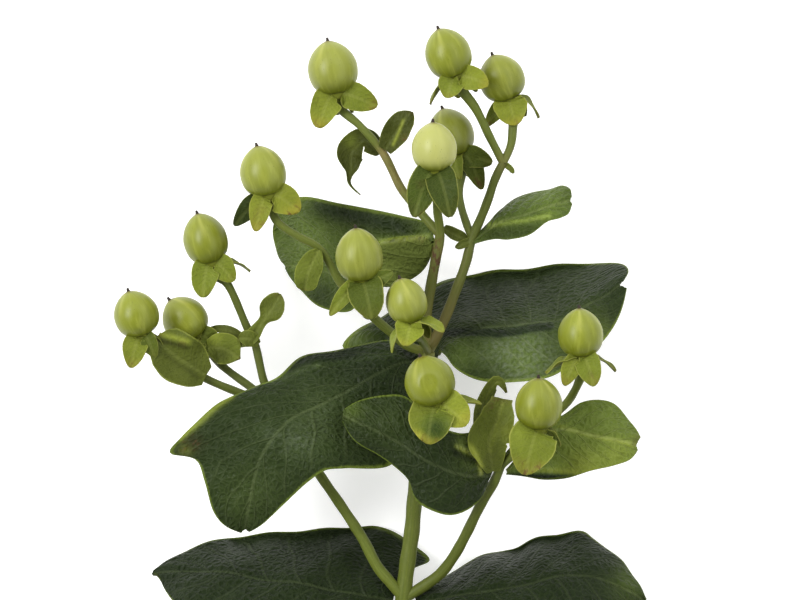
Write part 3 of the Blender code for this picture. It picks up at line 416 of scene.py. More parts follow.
def row(start, end, count, reach, change):
    """A row of equal patches between two places."""
    places = [tuple(np.add(start, np.subtract(end, start) * t)) for t in np.linspace(0, 1, count)]
    return [(place, reach, change) for place in places]


# Patches of the small leaves: middle in X and Y, reach, change of brightness, yellow, brown, deep green
BRACT_PATCHES = {
    "bract_04": [
        *row((-58.6, -7.8), (-50.8, -9.8), 10, 0.7, (0.3, 0.1, 0, -0.4)),
        ((-52, -10.2), 0.7, (-0.1, 0, 0.6, 0)),
        # a painted shadow line under the pale lip
        *row((-57.6, -9.6), (-51, -11.4), 10, 0.6, (-0.18, 0, 0.03, 0.2)),
        *row((-56.4, -13), (-48.6, -18.6), 12, 0.5, (-0.12, 0, 0, 0.15)),
    ],
    "bract_05": [((-44.5, -9), 2, (0.15, 0.1, 0, -0.4)), ((-42.5, -13.5), 2.5, (-0.2, 0, 0, 0.4))],
    "bract_13_wide": [
        ((21.3, -25), 1.4, (-0.1, 0, 0.7, 0)), ((22.5, -37.5), 3.2, (-0.1, 0, 0, 0.3)),
        ((25.5, -31), 2.6, (0.12, 0.1, 0, -0.15)),
        *row((17, -35), (19.4, -39.6), 7, 0.6, (0.4, 0.15, 0, -0.25)),
        *row((24.4, -25), (21.6, -36), 10, 0.6, (0.2, 0.05, 0, -0.1)),
    ],
    "bract_03_right": [((-30.5, -1.5), 2.5, (0.15, 0, 0, 0.25))],
    "bract_01_right": [
        ((1.2, 38.8), 1, (0.1, 0.1, 0.6, 0)), *row((0.9, 43), (-1.6, 37.2), 12, 0.45, (0.35, 0.1, 0, -0.5)),
    ],
    "bract_01_left": [((-12, 38.4), 1.9, (0.3, 0, 0, -0.45)), ((-9, 33), 1.3, (-0.15, 0, 0, 0))],
}

# Patches of the large leaves, in the same way. Some are painted light: sheen and highlights on bulges and
# fold ridges, and shade in creases and on parts folded away.
LEAF_PATCHES = {
    "leaf_upper_left": [
        # painted sheen: the brightening patches here are highlights on the middle of the leaf and towards
        # its tip
        ((-19, -28), 8, (0.35, 0, 0, -0.04)), ((-30, -36), 6, (0.15, 0, 0, 0)),
        ((-24, -34.5), 4.2, (0.4, 0, 0, 0)), ((-32, -31.5), 3, (0.3, 0, 0, 0)),
        ((-36, -48), 8, (0.25, 0, 0, -0.08)), ((-6, -18), 9, (-0.15, 0, 0, 0.04)),
        # a painted highlight along the fold ridge
        *row((-32, -19.9), (-19.7, -15.9), 9, 0.9, (0.42, 0, 0, -0.05)),
        *row((-19.7, -15.9), (-1.5, -13), 12, 0.8, (0.32, 0, 0, -0.04)),
        # painted shade on the strip that folds away beyond the ridge
        *row((-28, -15.6), (-12, -12.6), 6, 2.6, (-0.22, 0, 0, 0.04)),
        *row((-40.3, -22.9), (-52.4, -33), 16, 0.8, (0.2, 0.12, 0, -0.35)),
        ((-49.6, -34.2), 2.2, (-0.1, 0, 0.45, 0)), ((-51.5, -36), 1.6, (0, 0.1, 0.2, -0.3)),
    ],
    "leaf_upper_right": [
        # painted sheen: brightening on the raised near half, which also brings out the material's painted
        # sheen there
        ((30, -14.5), 8, (1.05, 0, 0, -0.3)), ((14.5, -13), 5.5, (0.3, 0, 0, -0.32)),
        ((46, -10.5), 6, (0.25, 0.05, 0, -0.38)), ((-12, -10), 6, (0.2, 0, 0, -0.3)),
        # painted shade along the crease between the two halves
        *row((9.5, -8), (24, -7.9), 12, 0.85, (-0.3, 0, 0, 0.3)),
        *row((24, -7.9), (36, -6.6), 12, 0.85, (-0.3, 0, 0, 0.3)),
        # a painted sheen band along the midrib, with a faint brown tinge
        *row((12, -4.4), (36, -5.4), 12, 1.2, (0.22, 0, 0.05, 0.06)), ((-11, -8), 3.5, (0.5, 0, 0.1, 0)),
        ((18, 2), 12, (-0.1, 0, 0, 0)), ((40, 4), 10, (0.1, 0, 0, -0.02)),
        ((22, -11.5), 4.5, (0.3, 0, 0, -0.05)),
    ],
    "leaf_lower_left": [((-30, -60), 14, (0.1, 0, 0, 0))],
    "leaf_lower_right": [((34, -62), 12, (0.1, 0, 0, 0)), ((56, -68), 5, (0.1, 0, 0, -0.35))],
    "leaf_centre": [
        ((-24, 12), 8, (0.05, 0, 0, -0.15)), ((3, 9), 6, (0.15, 0, 0, 0)),
        *row((-20, 22.5), (2, 17.2), 8, 3.2, (-0.12, 0, 0, 0.26)), ((-19, 1), 5, (-0.15, 0, 0, 0.35)),
        *row((-5, 13.9), (7, 15.3), 14, 0.7, (0.5, 0.1, 0, -0.3)), ((4.8, 14.6), 0.9, (0, 0, 0.5, 0)),
    ],
    "leaf_upper_small": [
        # the row darkens the half folded down below the midrib: painted shade
        ((36, 23.5), 5, (0.15, 0, 0, -0.25)), *row((22, 15.2), (33, 17), 6, 2.4, (-0.06, 0, 0, 0.12)),
        *row((21.6, 17.9), (35.5, 20), 12, 0.7, (0.45, 0.1, 0, -0.3)),
    ],
    "leaf_front": [
        ((18.6, -36.4), 4.8, (0.2, 0.02, 0, -0.3)), ((15.6, -34), 2.2, (0.2, 0.03, 0, -0.3)),
        ((-12, -26), 3, (0.2, 0, 0, -0.35)), ((-2, -28), 7, (0.1, 0, 0, -0.08)),
        *row((13.6, -34.9), (18.4, -37.4), 9, 0.5, (0.5, 0.2, 0, -0.3)),
        *row((18.4, -37.4), (19.4, -41.6), 9, 0.5, (0.5, 0.2, 0, -0.3)),
        *row((13, -36), (17.8, -38.6), 7, 0.9, (-0.2, 0, 0, 0.1)),
    ],
    "leaf_right": [
        ((44, -40), 5, (0.1, 0.18, 0, 0)), ((57, -34), 1.6, (-0.2, 0, 0.9, 0)),
        ((52, -37), 4, (0.1, 0.12, 0, 0)), ((33, -36), 6, (-0.15, 0, 0, 0.3)),
        # a dark band under the rolled near edge: painted shade for the shaded underside of the roll
        *row((26.5, -42.4), (42.5, -42.8), 12, 1.2, (-0.4, -0.2, 0, 0.7)),
        *row((31, -40.8), (42, -41.2), 8, 0.8, (0.15, 0.18, 0, -0.1)),
        *row((37.7, -30.2), (56.2, -35), 24, 0.6, (0.2, 0.1, 0, -0.05)),
    ],
}

# Brightness, yellow, brown and deep green of the leaves
LEAF_BASE = {
    "leaf_right": (1, 0.05, 0, 0.1), "leaf_upper_small": (0.9, 0, 0, 0.45), "leaf_centre": (1, 0, 0, 0.5),
    "leaf_upper_right": (0.9, 0, 0, 0.94), "leaf_upper_left": (0.95, 0, 0, 0.93),
    "leaf_front": (0.9, 0, 0, 0.95),
}
DARK_LEAF = (0.8, 0, 0, 0.98)

# Shares of a small leaf's full width close to its tip, and the least share of the blunt ones
BRACT_END = ((0, 0.82, 0.92, 0.97, 1), (1, 1, 0.8, 0.55, 0.12))
BLUNT_ENDS = {"bract_13_wide": 0.72, "bract_04": 0.5}

# Places along a sepal or berry, and the shares of its full width there
SEPAL_OUTLINE = (
    (0, 0.1, 0.2, 0.35, 0.5, 0.65, 0.78, 0.88, 0.94, 0.98, 1),
    (0.76, 0.85, 0.93, 0.99, 1, 0.92, 0.78, 0.59, 0.42, 0.27, 0.12),
)
BERRY_OUTLINE = (
    (0, 0.02, 0.06, 0.12, 0.2, 0.3, 0.42, 0.54, 0.66, 0.76, 0.85, 0.92, 0.96, 1),
    (0.36, 0.5, 0.65, 0.79, 0.9, 0.97, 1, 0.985, 0.905, 0.785, 0.625, 0.44, 0.3, 0.09),
)

# Heights and radii of a calyx's cup from the berry's foot, and of the style's remnant from the berry's top
CUP_OUTLINE = (
    (-GAP - CUP_DEPTH, -GAP - 0.8 * CUP_DEPTH, -GAP - 0.5 * CUP_DEPTH, -0.5 * GAP, 0.2),
    (STALK_RADIUS + 0.25, 0.6 * CUP_RADIUS, 0.85 * CUP_RADIUS, CUP_RADIUS, 1.08 * CUP_RADIUS),
)
STYLE_OUTLINE = ((-0.5, -0.1, 0.1, 0.35, 0.6, 0.78, 0.86), (0.62, 0.54, 0.42, 0.35, 0.32, 0.27, 0.14))


def unit(vector):
    """The vector at length one."""
    vector = np.asarray(vector, dtype=float)
    return vector / np.linalg.norm(vector)


def smooth_line(points, stations):
    """Points on a smooth curve through the given ones, at shares of its length from 0 to 1."""
    points = np.asarray(points, dtype=float)
    if len(points) == 2:
        return points[0] + np.outer(stations, points[1] - points[0])
    steps = np.linalg.norm(np.diff(points, axis=0), axis=1) ** 0.5
    knots = np.concatenate([[0.0], np.cumsum(steps)])
    slopes = np.empty_like(points)
    chords = np.diff(points, axis=0) / steps[:, None]
    share = (steps[:-1] / (steps[:-1] + steps[1:]))[:, None]
    slopes[1:-1] = (1 - share) * chords[:-1] + share * chords[1:]
    slopes[0] = 1.5 * chords[0] - 0.5 * slopes[1]
    slopes[-1] = 1.5 * chords[-1] - 0.5 * slopes[-2]
    fine = np.linspace(0, knots[-1], 16 * len(points))
    span = np.clip(np.searchsorted(knots, fine, side="right") - 1, 0, len(steps) - 1)
    width = steps[span][:, None]
    t = ((fine - knots[span]) / steps[span])[:, None]
    curve = (
        (2 * t**3 - 3 * t**2 + 1) * points[span]
        + (t**3 - 2 * t**2 + t) * width * slopes[span]
        + (3 * t**2 - 2 * t**3) * points[span + 1]
        + (t**3 - t**2) * width * slopes[span + 1]
    )
    length = np.concatenate([[0.0], np.cumsum(np.linalg.norm(np.diff(curve, axis=0), axis=1))])
    wanted = np.asarray(stations) * length[-1]
    return np.stack([np.interp(wanted, length, curve[:, k]) for k in range(3)], axis=1)


def smooth_profile(outline, count):
    """Two rows of numbers for a fine smooth line through the points of an outline."""
    return smooth_line([(*pair, 0) for pair in zip(*outline)], np.linspace(0, 1, count))[:, :2].T


def berry_axis(berry):
    """The direction from a berry's foot to its tip."""
    lean, tilt = np.radians([berry.lean, berry.tilt])
    return np.array([-np.sin(lean) * np.cos(tilt), np.cos(lean) * np.cos(tilt), np.sin(tilt)])


def berry_foot(berry):
    """The middle of a berry's seated base."""
    return np.array(berry.centre) - berry_axis(berry) * berry.height / 2


def square_to(axis):
    """Two directions square to an axis and to each other."""
    first = unit(np.cross(axis, (0.0, 0.0, 1.0)) if abs(axis[2]) < 0.9 else np.cross(axis, (1.0, 0.0, 0.0)))
    return first, np.cross(axis, first)


def angles_around(sides):
    """Even angles around a circle."""
    return 2 * np.pi * np.arange(sides) / sides


def spokes_around(first, second, sides):
    """Directions all around in the plane of two others."""
    angles = angles_around(sides)
    return np.outer(np.cos(angles), first) + np.outer(np.sin(angles), second)


def turned(foot, axis, heights, radii):
    """Rings of a turned body. radii holds a row for each ring and a column for each side."""
    spokes = spokes_around(*square_to(axis), radii.shape[1])
    return foot + np.asarray(heights)[:, None, None] * axis + spokes * radii[:, :, None]


def find_shift():
    """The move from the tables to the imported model, from the box of the first berry's solid."""
    berry = BERRIES["01"]
    heights, radii = [0.0], [BERRY_SEAT_RADIUS]
    for angle in np.pi * np.linspace(*SOLID_BERRY_TURNS, SOLID_BERRY_RINGS):
        belly = np.sin(angle) * (1 + BERRY_BELLY * np.cos(angle))
        heights.append(0.5 * berry.height * (1 - np.cos(angle)))
        radii.append(max(0.5 * berry.width * belly, SOLID_BERRY_LEAST))
    radii = np.outer(radii, np.ones(SOLID_BERRY_SIDES))
    x, y, _ = np.moveaxis(turned(berry_foot(berry), berry_axis(berry), heights, radii), 2, 0)
    low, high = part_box("berry_01")
    # The middle of the box gives X and its low end gives Y. Heights are the same in both.
    middle_x = 0.5 * (low[0] + high[0]) / MM - 0.5 * (x.min() + x.max())
    return np.array([middle_x, low[1] / MM - y.min(), 0.0])


SHIFT = find_shift()


# Meshes

class Skin:
    """Vertices, faces and surface values of one piece, gathered from its parts."""

    def __init__(self):
        self.vertices, self.faces, self.flat, self.mark, self.tint = [], [], [], [], []
        self.count = 0

    def add(self, vertices, groups, flat, mark, tint):
        """Adds one closed part. The faces of a group have the same number of corners."""
        self.vertices.append(np.asarray(vertices).reshape(-1, 3))
        for group in groups:
            self.faces += (group + self.count).tolist()
        count = len(self.vertices[-1])
        self.flat.append(np.asarray(flat).reshape(-1, 3))
        self.mark.append(np.asarray(mark).reshape(-1, 3))
        self.tint.append(np.broadcast_to(np.reshape(tint, (-1, 4)), (count, 4)))
        self.count += count

    def finish(self, node, material, sharp):
        """Puts the finished piece in place of its CAD node."""
        vertices = np.clip((np.concatenate(self.vertices) + SHIFT) * MM, CAD_LOW, CAD_HIGH)
        mesh = bpy.data.meshes.new("fine_" + node)
        mesh.from_pydata(vertices.tolist(), [], self.faces)
        for label, values, kind, key in (
            ("flat", self.flat, "FLOAT_VECTOR", "vector"), ("mark", self.mark, "FLOAT_VECTOR", "vector"),
            ("tint", self.tint, "FLOAT_COLOR", "color"),
        ):
            layer = mesh.attributes.new(label, kind, "POINT")
            layer.data.foreach_set(key, np.concatenate(values).astype(np.float32).ravel())
        mesh.shade_smooth()
        mesh.set_sharp_from_angle(angle=np.radians(sharp))
        mesh.materials.append(material)
        piece = bpy.data.objects.new("fine_" + node, mesh)
        bpy.context.scene.collection.objects.link(piece)
        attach(piece, "root")
        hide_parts(node)


def quads_of(rows, columns, wrap=False):
    """Quads over a grid of points, closed across the columns where wrap is set."""
    last = columns if wrap else columns - 1
    i, j = np.meshgrid(np.arange(rows - 1), np.arange(last), indexing="ij")
    a, b = i * columns + j, i * columns + (j + 1) % columns
    return np.stack([a, b, b + columns, a + columns], axis=-1).reshape(-1, 4)


def layers(shape, *values):
    """Numbers for each point of a grid, each value spread over its rows and columns."""
    return np.stack([np.broadcast_to(value, shape) for value in values], axis=2)


def smoothstep(low, high, value):
    """0 at low, 1 at high, and smooth between."""
    t = np.clip((value - low) / (high - low), 0, 1)
    return t * t * (3 - 2 * t)


def ridge(distance, width):
    """A rounded ridge: 1 on its line and 0 far from it."""
    return np.exp(-((distance / width) ** 2))


def from_midrib(grid):
    """Distance of each point from the middle of its row, along the row."""
    steps = np.linalg.norm(np.diff(grid, axis=1), axis=2)
    across = np.pad(np.cumsum(steps, axis=1), ((0, 0), (1, 0)))
    return across - across[:, grid.shape[1] // 2][:, None]


def vein_phase(u, v, seed):
    """Count of the side veins along a blade. Those of one half lie between those of the other."""
    wobble = 0.05 * np.sin(7 * u + 3 * v + seed) + 0.04 * np.sin(13 * v - 5 * u + 2 * seed)
    return (u - VEIN_SWEEP * np.abs(v) ** 0.85) * VEIN_PAIRS + wobble + np.where(v > 0, 0.5, 0.0)


def vein_relief(u, v, across, seed):
    """Height of a leaf's surface: a groove on the midrib and the side veins, quilted between them."""
    near = np.abs((vein_phase(u, v, seed) + 0.5) % 1.0 - 0.5)
    fade = smoothstep(0.02, 0.15, np.abs(v)) * smoothstep(1.0, 0.75, np.abs(v)) * smoothstep(0, 0.1, u)
    pillow = np.sin(np.pi * np.clip(near * 2, 0, 1) * 0.5)
    return VEIN_DEPTH * fade * (pillow - 0.6) - MIDRIB_DEPTH * ridge(across, 0.8) * smoothstep(0, 0.1, u)


def ripple(u, v, seed, size):
    """Soft unevenness of a small blade, stronger towards its edges."""
    wave = np.sin(5.1 * u + 2.2 * v + seed) + 0.8 * np.sin(8.3 * u - 3.1 * v + 1.7 * seed)
    edge = np.sin(11.0 * u + 2.0 * np.sign(v) + 2.9 * seed) * np.abs(v) ** 3
    return size * smoothstep(0.05, 0.4, u) * (0.55 * wave + 0.9 * edge)


def tint_patches(grid, base, patches):
    """Surface tint over a grid: a base value and round patches, each (middle, reach, change)."""
    tint = np.tile(np.asarray(base, dtype=float), (*grid.shape[:2], 1))
    for (x, y), reach, change in patches:
        weight = np.exp(-(((grid[:, :, 0] - x) ** 2 + (grid[:, :, 1] - y) ** 2) / reach**2))
        tint += weight[:, :, None] * np.asarray(change, dtype=float)
    return tint


def add_blade(skin, grid, u, v, blade, relief, keel, seed, tint):
    """Adds a thin closed blade over a grid. u runs along it, v from -1 to 1 across it."""
    rows, columns = u.shape
    normals = np.cross(np.gradient(grid, axis=0), np.gradient(grid, axis=1))
    normals /= np.linalg.norm(normals, axis=2)[:, :, None] + 1e-12
    up = np.sign(normals[:, : columns // 2, 2].mean())
    normals = normals * up
    thickness = blade * (1 - 0.65 * np.abs(v) ** 6)
    middle = grid + normals * relief[:, :, None]
    upper = middle + normals * (thickness / 2)[:, :, None]
    lower = middle - normals * (thickness / 2 + keel)[:, :, None]
    lower[:, :, 2] = np.maximum(lower[:, :, 2], LOWEST_POINT)
    upper[:, :, 2] = np.maximum(upper[:, :, 2], LOWEST_POINT + 0.6 * thickness)
    half = rows * columns
    index = np.arange(half).reshape(rows, columns)
    rim = np.concatenate([index[0], index[1:, -1], index[-1, -2::-1], index[-2:0:-1, 0]])
    after = np.roll(rim, -1)
    sides = np.stack([after, rim, rim + half, after + half], axis=1)
    faces = quads_of(rows, columns)
    if up > 0:
        groups = [faces[:, ::-1] + half, faces, sides[:, ::-1]]
    else:
        groups = [faces + half, faces[:, ::-1], sides]
    length = np.linalg.norm(np.diff(grid[:, columns // 2], axis=0), axis=1).sum()
    flat = layers(u.shape, u * length, from_midrib(grid), seed)
    marks = [layers(u.shape, vein_phase(u, v, seed), np.abs(v), face) for face in (0.0, 1.0)]
    skin.add([upper, lower], groups, [flat, flat], marks, [tint, tint])


def make_leaf(name, seed):
    """A large leaf with veins in relief."""
    rows, columns = SMALLER_LEAF_GRID if name in SMALLER_LEAVES else LARGE_LEAF_GRID
    stations = np.linspace(0, 1, rows + 1)
    curves = [smooth_line(line, stations) for line in LEAVES[name]]
    v = np.linspace(-1, 1, columns + 1)
    v = np.sign(v) * (1 - (1 - np.abs(v)) ** 1.25)
    grid = np.empty((rows + 1, columns + 1, 3))
    for i, cross in enumerate(zip(*curves)):
        first, second = (np.linalg.norm(cross[k + 1] - cross[k]) for k in (0, 1))
        middle = first / (first + second + 1e-9)
        share = np.where(v < 0, middle * (1 + v), middle + (1 - middle) * v)
        grid[i] = smooth_line(cross, share)
    u, v = np.meshgrid(stations, v, indexing="ij")
    across = from_midrib(grid)
    x, y, _ = np.moveaxis(grid, 2, 0)
    waves = np.sin(0.42 * x + 0.31 * y + seed) + np.sin(0.29 * x - 0.5 * y)
    relief = vein_relief(u, v, across, seed) + LEAF_WAVES * smoothstep(0.1, 0.3, u) * waves
    keel = LEAF_KEEL * ridge(across, 0.7) * (1 - 0.7 * u)
    tint = tint_patches(grid, LEAF_BASE.get(name, DARK_LEAF), LEAF_PATCHES[name])
    skin = Skin()
    add_blade(skin, grid, u, v, LEAF_BLADE, relief, keel, seed, tint)
    skin.finish(name, LEAF_SKIN, BLADE_SHARP)


def windows(values, reach):
    """The values moved by each step from -reach to reach, with the end values repeated."""
    padded = np.pad(values, reach, mode="edge")
    return [padded[k:k + len(values)] for k in range(2 * reach + 1)]


def bend_limits(line, across):
    """How far a blade can reach to its right and left before it folds over on the inside of a bend."""
    steps = np.gradient(line, axis=0)
    speed = np.linalg.norm(steps, axis=1)[:, None] + 1e-12
    bend = np.gradient(steps / speed, axis=0) / speed
    lean = (bend * across).sum(axis=1)
    limits = []
    for side in (lean, -lean):
        limit = np.clip(0.85 / np.maximum(side, 1e-6), 0.0, 12.0)
        limits.append(np.mean(windows(np.min(windows(limit, 3), axis=0), 2), axis=0))
    return limits


def strip(line, widths, across, v, cup):
    """A small blade's grid: straight cross lines with their edges lifted by cup."""
    right, left = (np.minimum(0.5 * widths, limit)[:, None] for limit in bend_limits(line, across))
    half = np.where(v > 0, right * v, left * v)
    grid = line[:, None, :] + half[:, :, None] * across[:, None, :]
    lift = np.cross(np.gradient(line, axis=0), across)
    lift /= np.linalg.norm(lift, axis=1)[:, None] + 1e-12
    lift *= np.sign(lift[:, 2].mean()) or 1.0
    return grid + lift[:, None, :] * (cup * widths[:, None] * (v**2)[None, :])[:, :, None]


def make_bract(name, seed):
    """A small leaf at a fork."""
    bract = BRACTS[name]
    rows, columns = BRACT_GRID
    t = np.linspace(0, 1, rows + 1)
    line = smooth_line(bract.points, t)
    knots = np.linspace(0, 1, len(bract.widths))
    ends = np.maximum(np.interp(t, *BRACT_END), BLUNT_ENDS.get(name, 0.0))
    widths = np.interp(t, *smooth_profile((knots, bract.widths), PROFILE_POINTS)) * ends
    across = np.array([unit(np.cross(tangent, bract.up)) for tangent in np.gradient(line, axis=0)])
    v = np.linspace(-1, 1, columns + 1)
    grid = strip(line, np.maximum(widths, 0.25), across, v, BRACT_CUP)
    u, v = np.meshgrid(t, v, indexing="ij")
    side = np.abs(v) * widths[:, None] / 2
    relief = -BRACT_GROOVE * ridge(side, 0.35) + ripple(u, v, seed, BRACT_RIPPLE * max(bract.widths))
    keel = BRACT_KEEL * ridge(side, 0.4) * (1 - u)
    tint = tint_patches(grid, (bract.light, 0.15, 0.0, bract.deep), BRACT_PATCHES.get(name, []))
    tint[:, :, 2] += 0.6 * smoothstep(0.9, 1.0, u)
    skin = Skin()
    add_blade(skin, grid, u, v, SEPAL_BLADE, relief, keel, seed, tint)
    skin.finish(name, BRACT_SKIN, BLADE_SHARP)


def sepal_blade(berry, tip, width, open_to_viewer):
    """Grid and shares of one sepal, from its root inside the cup out and back along the stalk to its tip."""
    rows, columns = SEPAL_GRID
    axis, foot = berry_axis(berry), berry_foot(berry)
    reach = np.asarray(tip, dtype=float)
    out = unit(reach - axis * np.dot(reach, axis))
    front = np.cross(unit(np.cross(axis, (0.0, 0.0, 1.0))), axis)
    start = unit(out + 0.9 * open_to_viewer * front)
    root = foot - axis * 0.35 * SEPAL_ROOT_DEPTH + start * (SEPAL_ROOT_RADIUS + 0.35 * open_to_viewer)
    end = foot + reach
    length = np.linalg.norm(end - root)
    bend = root + unit(out + 0.5 * open_to_viewer * front) * SEPAL_BEND * (1 - 0.4 * open_to_viewer) * length
    t = np.linspace(0, 1, rows + 1)
    share = t[:, None]
    line = (1 - share) ** 2 * root + 2 * share * (1 - share) * bend + share**2 * end
    side = np.cross(axis, out)
    across = []
    for place, tangent in zip(t, np.gradient(line, axis=0)):
        facing = np.cross(tangent, (0.0, 0.0, 1.0))
        facing = unit(facing) if np.linalg.norm(facing) > 0.05 else side
        facing = facing if np.dot(facing, side) >= 0 else -facing
        turn = open_to_viewer * min(1.0, 0.5 + 4 * place)
        across.append(unit(side * (1 - turn) + facing * turn))
    widths = np.maximum(width * np.interp(t, *SEPAL_OUTLINE), 0.2)
    v = np.linspace(-1, 1, columns + 1)
    grid = strip(line, widths, np.array(across), v, SEPAL_CUP)
    return grid, *np.meshgrid(t, v, indexing="ij"), widths


def hidden_sepals(berry, seen):
    """Entries for the sepals turned away from the viewer, evenly spread between the outer listed ones."""
    axis = berry_axis(berry)
    right = unit(np.cross(axis, (0.0, 0.0, 1.0)))
    front = np.cross(right, axis)
    angles = []
    for x, y, z, _, _ in seen:
        angle = np.degrees(np.arctan2(np.dot((x, y, z), front), np.dot((x, y, z), right)))
        angles.append(angle if angle > -90 else angle + 360)
    count = SEPAL_COUNT - len(seen)
    step = (360 - max(angles) + min(angles)) / (count + 1)
    sepals = []
    for k in range(count):
        turn = np.radians(max(angles) + step * (k + 1))
        out = np.cos(turn) * right + np.sin(turn) * front
        sepals.append((*(out * HIDDEN_SEPAL_REACH - axis * HIDDEN_SEPAL_DROP), HIDDEN_SEPAL_WIDTH, 0))
    return sepals


def add_turned(skin, foot, axis, heights, radii, sides, lobes, seed, tint, marks=None):
    """Adds a closed turned body with a fine profile. lobes raises three rounded ridges."""
    angles = angles_around(sides)
    wave = 1 + lobes * np.cos(3 * angles + seed)
    rings = turned(foot, axis, heights, radii[:, None] * wave)
    share = (heights - heights[0]) / (heights[-1] - heights[0]) if marks is None else marks
    shape = rings.shape[:2]
    flat = layers(shape, np.cos(angles), np.sin(angles), share[:, None])
    mark = layers(shape, share[:, None], angles / (2 * np.pi) + seed / (6 * np.pi), seed)
    index = np.arange(rings[:, :, 0].size).reshape(shape)
    after = np.roll(index, -1, axis=1)
    start = np.stack([np.full(sides, index.size), index[0], after[0]], axis=1)
    stop = np.stack([np.full(sides, index.size + 1), after[-1], index[-1]], axis=1)
    skin.add(
        [*rings.reshape(-1, 3), foot + axis * heights[0], foot + axis * heights[-1]],
        [quads_of(*shape, wrap=True)[:, ::-1], start, stop],
        [*flat.reshape(-1, 3), (0, 0, share[0]), (0, 0, share[-1])],
        [*mark.reshape(-1, 3), (share[0], 0, seed), (share[-1], 0, seed)],
        tint,
    )


def make_berry(number, seed):
    """A berry with three faint lobes and the dark remnant of its style."""
    berry = BERRIES[number]
    rings, sides = BERRY_GRID
    heights, radii = smooth_profile(BERRY_OUTLINE, rings)
    radii = np.maximum(radii * berry.width / 2, 0.1)
    axis, foot = berry_axis(berry), berry_foot(berry)
    top = foot + axis * berry.height
    skin = Skin()
    tint = (berry.light, berry.pale, 0.0, 0.0)
    add_turned(skin, foot, axis, heights * berry.height, radii, sides, BERRY_LOBES, seed, tint)
    tint = (berry.light, berry.pale, 1.0, 0.0)
    marks = np.linspace(1.0, 1.1, len(STYLE_OUTLINE[0]))
    add_turned(skin, top, axis, *np.array(STYLE_OUTLINE), STYLE_SIDES, STYLE_LOBES, seed, tint, marks)
    skin.finish("berry_" + number, BERRY_SKIN, TURNED_SHARP)


def make_calyx(number, seed):
    """A berry's cup with its five sepals."""
    berry = BERRIES[number]
    rings, sides = CUP_GRID
    skin = Skin()
    heights, radii = smooth_profile(CUP_OUTLINE, rings)
    add_turned(skin, berry_foot(berry), berry_axis(berry), heights, radii, sides, 0.0, seed, CUP_LOOK)
    # The cup has the upper side's look of a blade, away from its edge
    skin.mark[-1][:, 1:] = 0.3, 0.0
    seen = SEPALS[number]
    looks = SEPAL_LOOKS[number] + [HIDDEN_SEPAL_LOOK] * SEPAL_COUNT
    for k, (x, y, z, width, open_to_viewer) in enumerate(seen + hidden_sepals(berry, seen)):
        grid, u, v, widths = sepal_blade(berry, (x, y, z), SEPAL_SPREAD * width, open_to_viewer)
        side = np.abs(v) * widths[:, None] / 2
        relief = -SEPAL_GROOVE * ridge(side, 0.3) * smoothstep(1.0, 0.6, u)
        relief += ripple(u, v, seed + 2.3 * k, SEPAL_RIPPLE * width)
        keel = SEPAL_KEEL * ridge(side, 0.4) * (1 - u)
        light, yellow, brown, deep = looks[k]
        tip = smoothstep(0.72, 1.0, u)
        tint = layers(u.shape, light, yellow * (0.25 + 0.75 * tip), brown * tip, deep)
        tint += tint_patches(grid, (0, 0, 0, 0), SEPAL_PATCHES.get(number, []))
        add_blade(skin, grid, u, v, SEPAL_BLADE, relief, keel, seed + 1.7 * k, np.maximum(tint, 0))
    skin.finish("calyx_" + number, SEPAL_SKIN, TURNED_SHARP)


def add_stem(skin, points, branch, end_axis, seed):
    """Adds one branch as a round stem with two raised lines, wider towards a calyx."""
    length = sum(np.linalg.norm(np.subtract(b, a)) for a, b in zip(points, points[1:]))
    count = max(12, int(length / STEM_STEP))
    stations = np.linspace(0, 1, count)
    line = smooth_line(points, stations)
    tangents = np.gradient(line, axis=0)
    widening = np.ones(count)
    if end_axis is not None:
        blend = smoothstep(0.9, 1.0, stations)[:, None]
        tangents = tangents / np.linalg.norm(tangents, axis=1)[:, None] * (1 - blend) + end_axis * blend
        widening += STALK_FLARE * smoothstep(1 - STALK_FLARE_LENGTH / length, 1.0, stations)
    start, end = branch.radii
    thickness = start + (end - start) * stations
    thickness *= 1 + STEM_WAVES * np.sin(0.9 * stations * length + seed) * np.minimum(1, stations * 8)
    first, _ = square_to(unit(tangents[0]))
    angles = angles_around(STEM_SIDES)
    ridges = 1 + STEM_RIDGES * np.cos(angles) ** 12
    rings = []
    for place, tangent, radius in zip(line, tangents, thickness * widening):
        tangent = unit(tangent)
        first = unit(first - tangent * np.dot(first, tangent))
        spokes = spokes_around(first, np.cross(tangent, first), STEM_SIDES)
        rings.append(place + radius * spokes * ridges[:, None])
    rings = np.array(rings)
    rings[:, :, 2] = np.maximum(rings[:, :, 2], 0.0)
    tan, red = 0.0, 0.0
    for place, reach, how_tan, how_red in STEM_MARKS:
        weight = np.exp(-(((rings - np.array(place)) ** 2).sum(axis=2)) / reach**2)
        tan, red = tan + how_tan * weight, red + how_red * weight
    shape = (count, STEM_SIDES)
    index = np.arange(count * STEM_SIDES).reshape(shape)
    groups = [quads_of(*shape, wrap=True)[:, ::-1], index[:1], index[-1:, ::-1]]
    flat = layers(shape, np.cos(angles), np.sin(angles), (stations * length)[:, None] + seed * 9)
    skin.add(rings, groups, flat, layers(shape, tan, red, branch.light), (1.0, 0.0, 0.0, 0.0))


def make_stem():
    """The main stem with its branches and berry stalks."""
    skin = Skin()
    for k, (name, branch) in enumerate(BRANCHES.items()):
        points, end_axis = list(branch.points), None
        if name.startswith("berry_"):
            berry = BERRIES[name[-2:]]
            end_axis = berry_axis(berry)
            end = berry_foot(berry) - end_axis * (GAP + CUP_DEPTH)
            points += [end - end_axis * 0.5 * STALK_LEAD, end]
        add_stem(skin, points, branch, end_axis, 1.3 * k)
    skin.finish("stem", STEM_SKIN, TURNED_SHARP)


# Materials

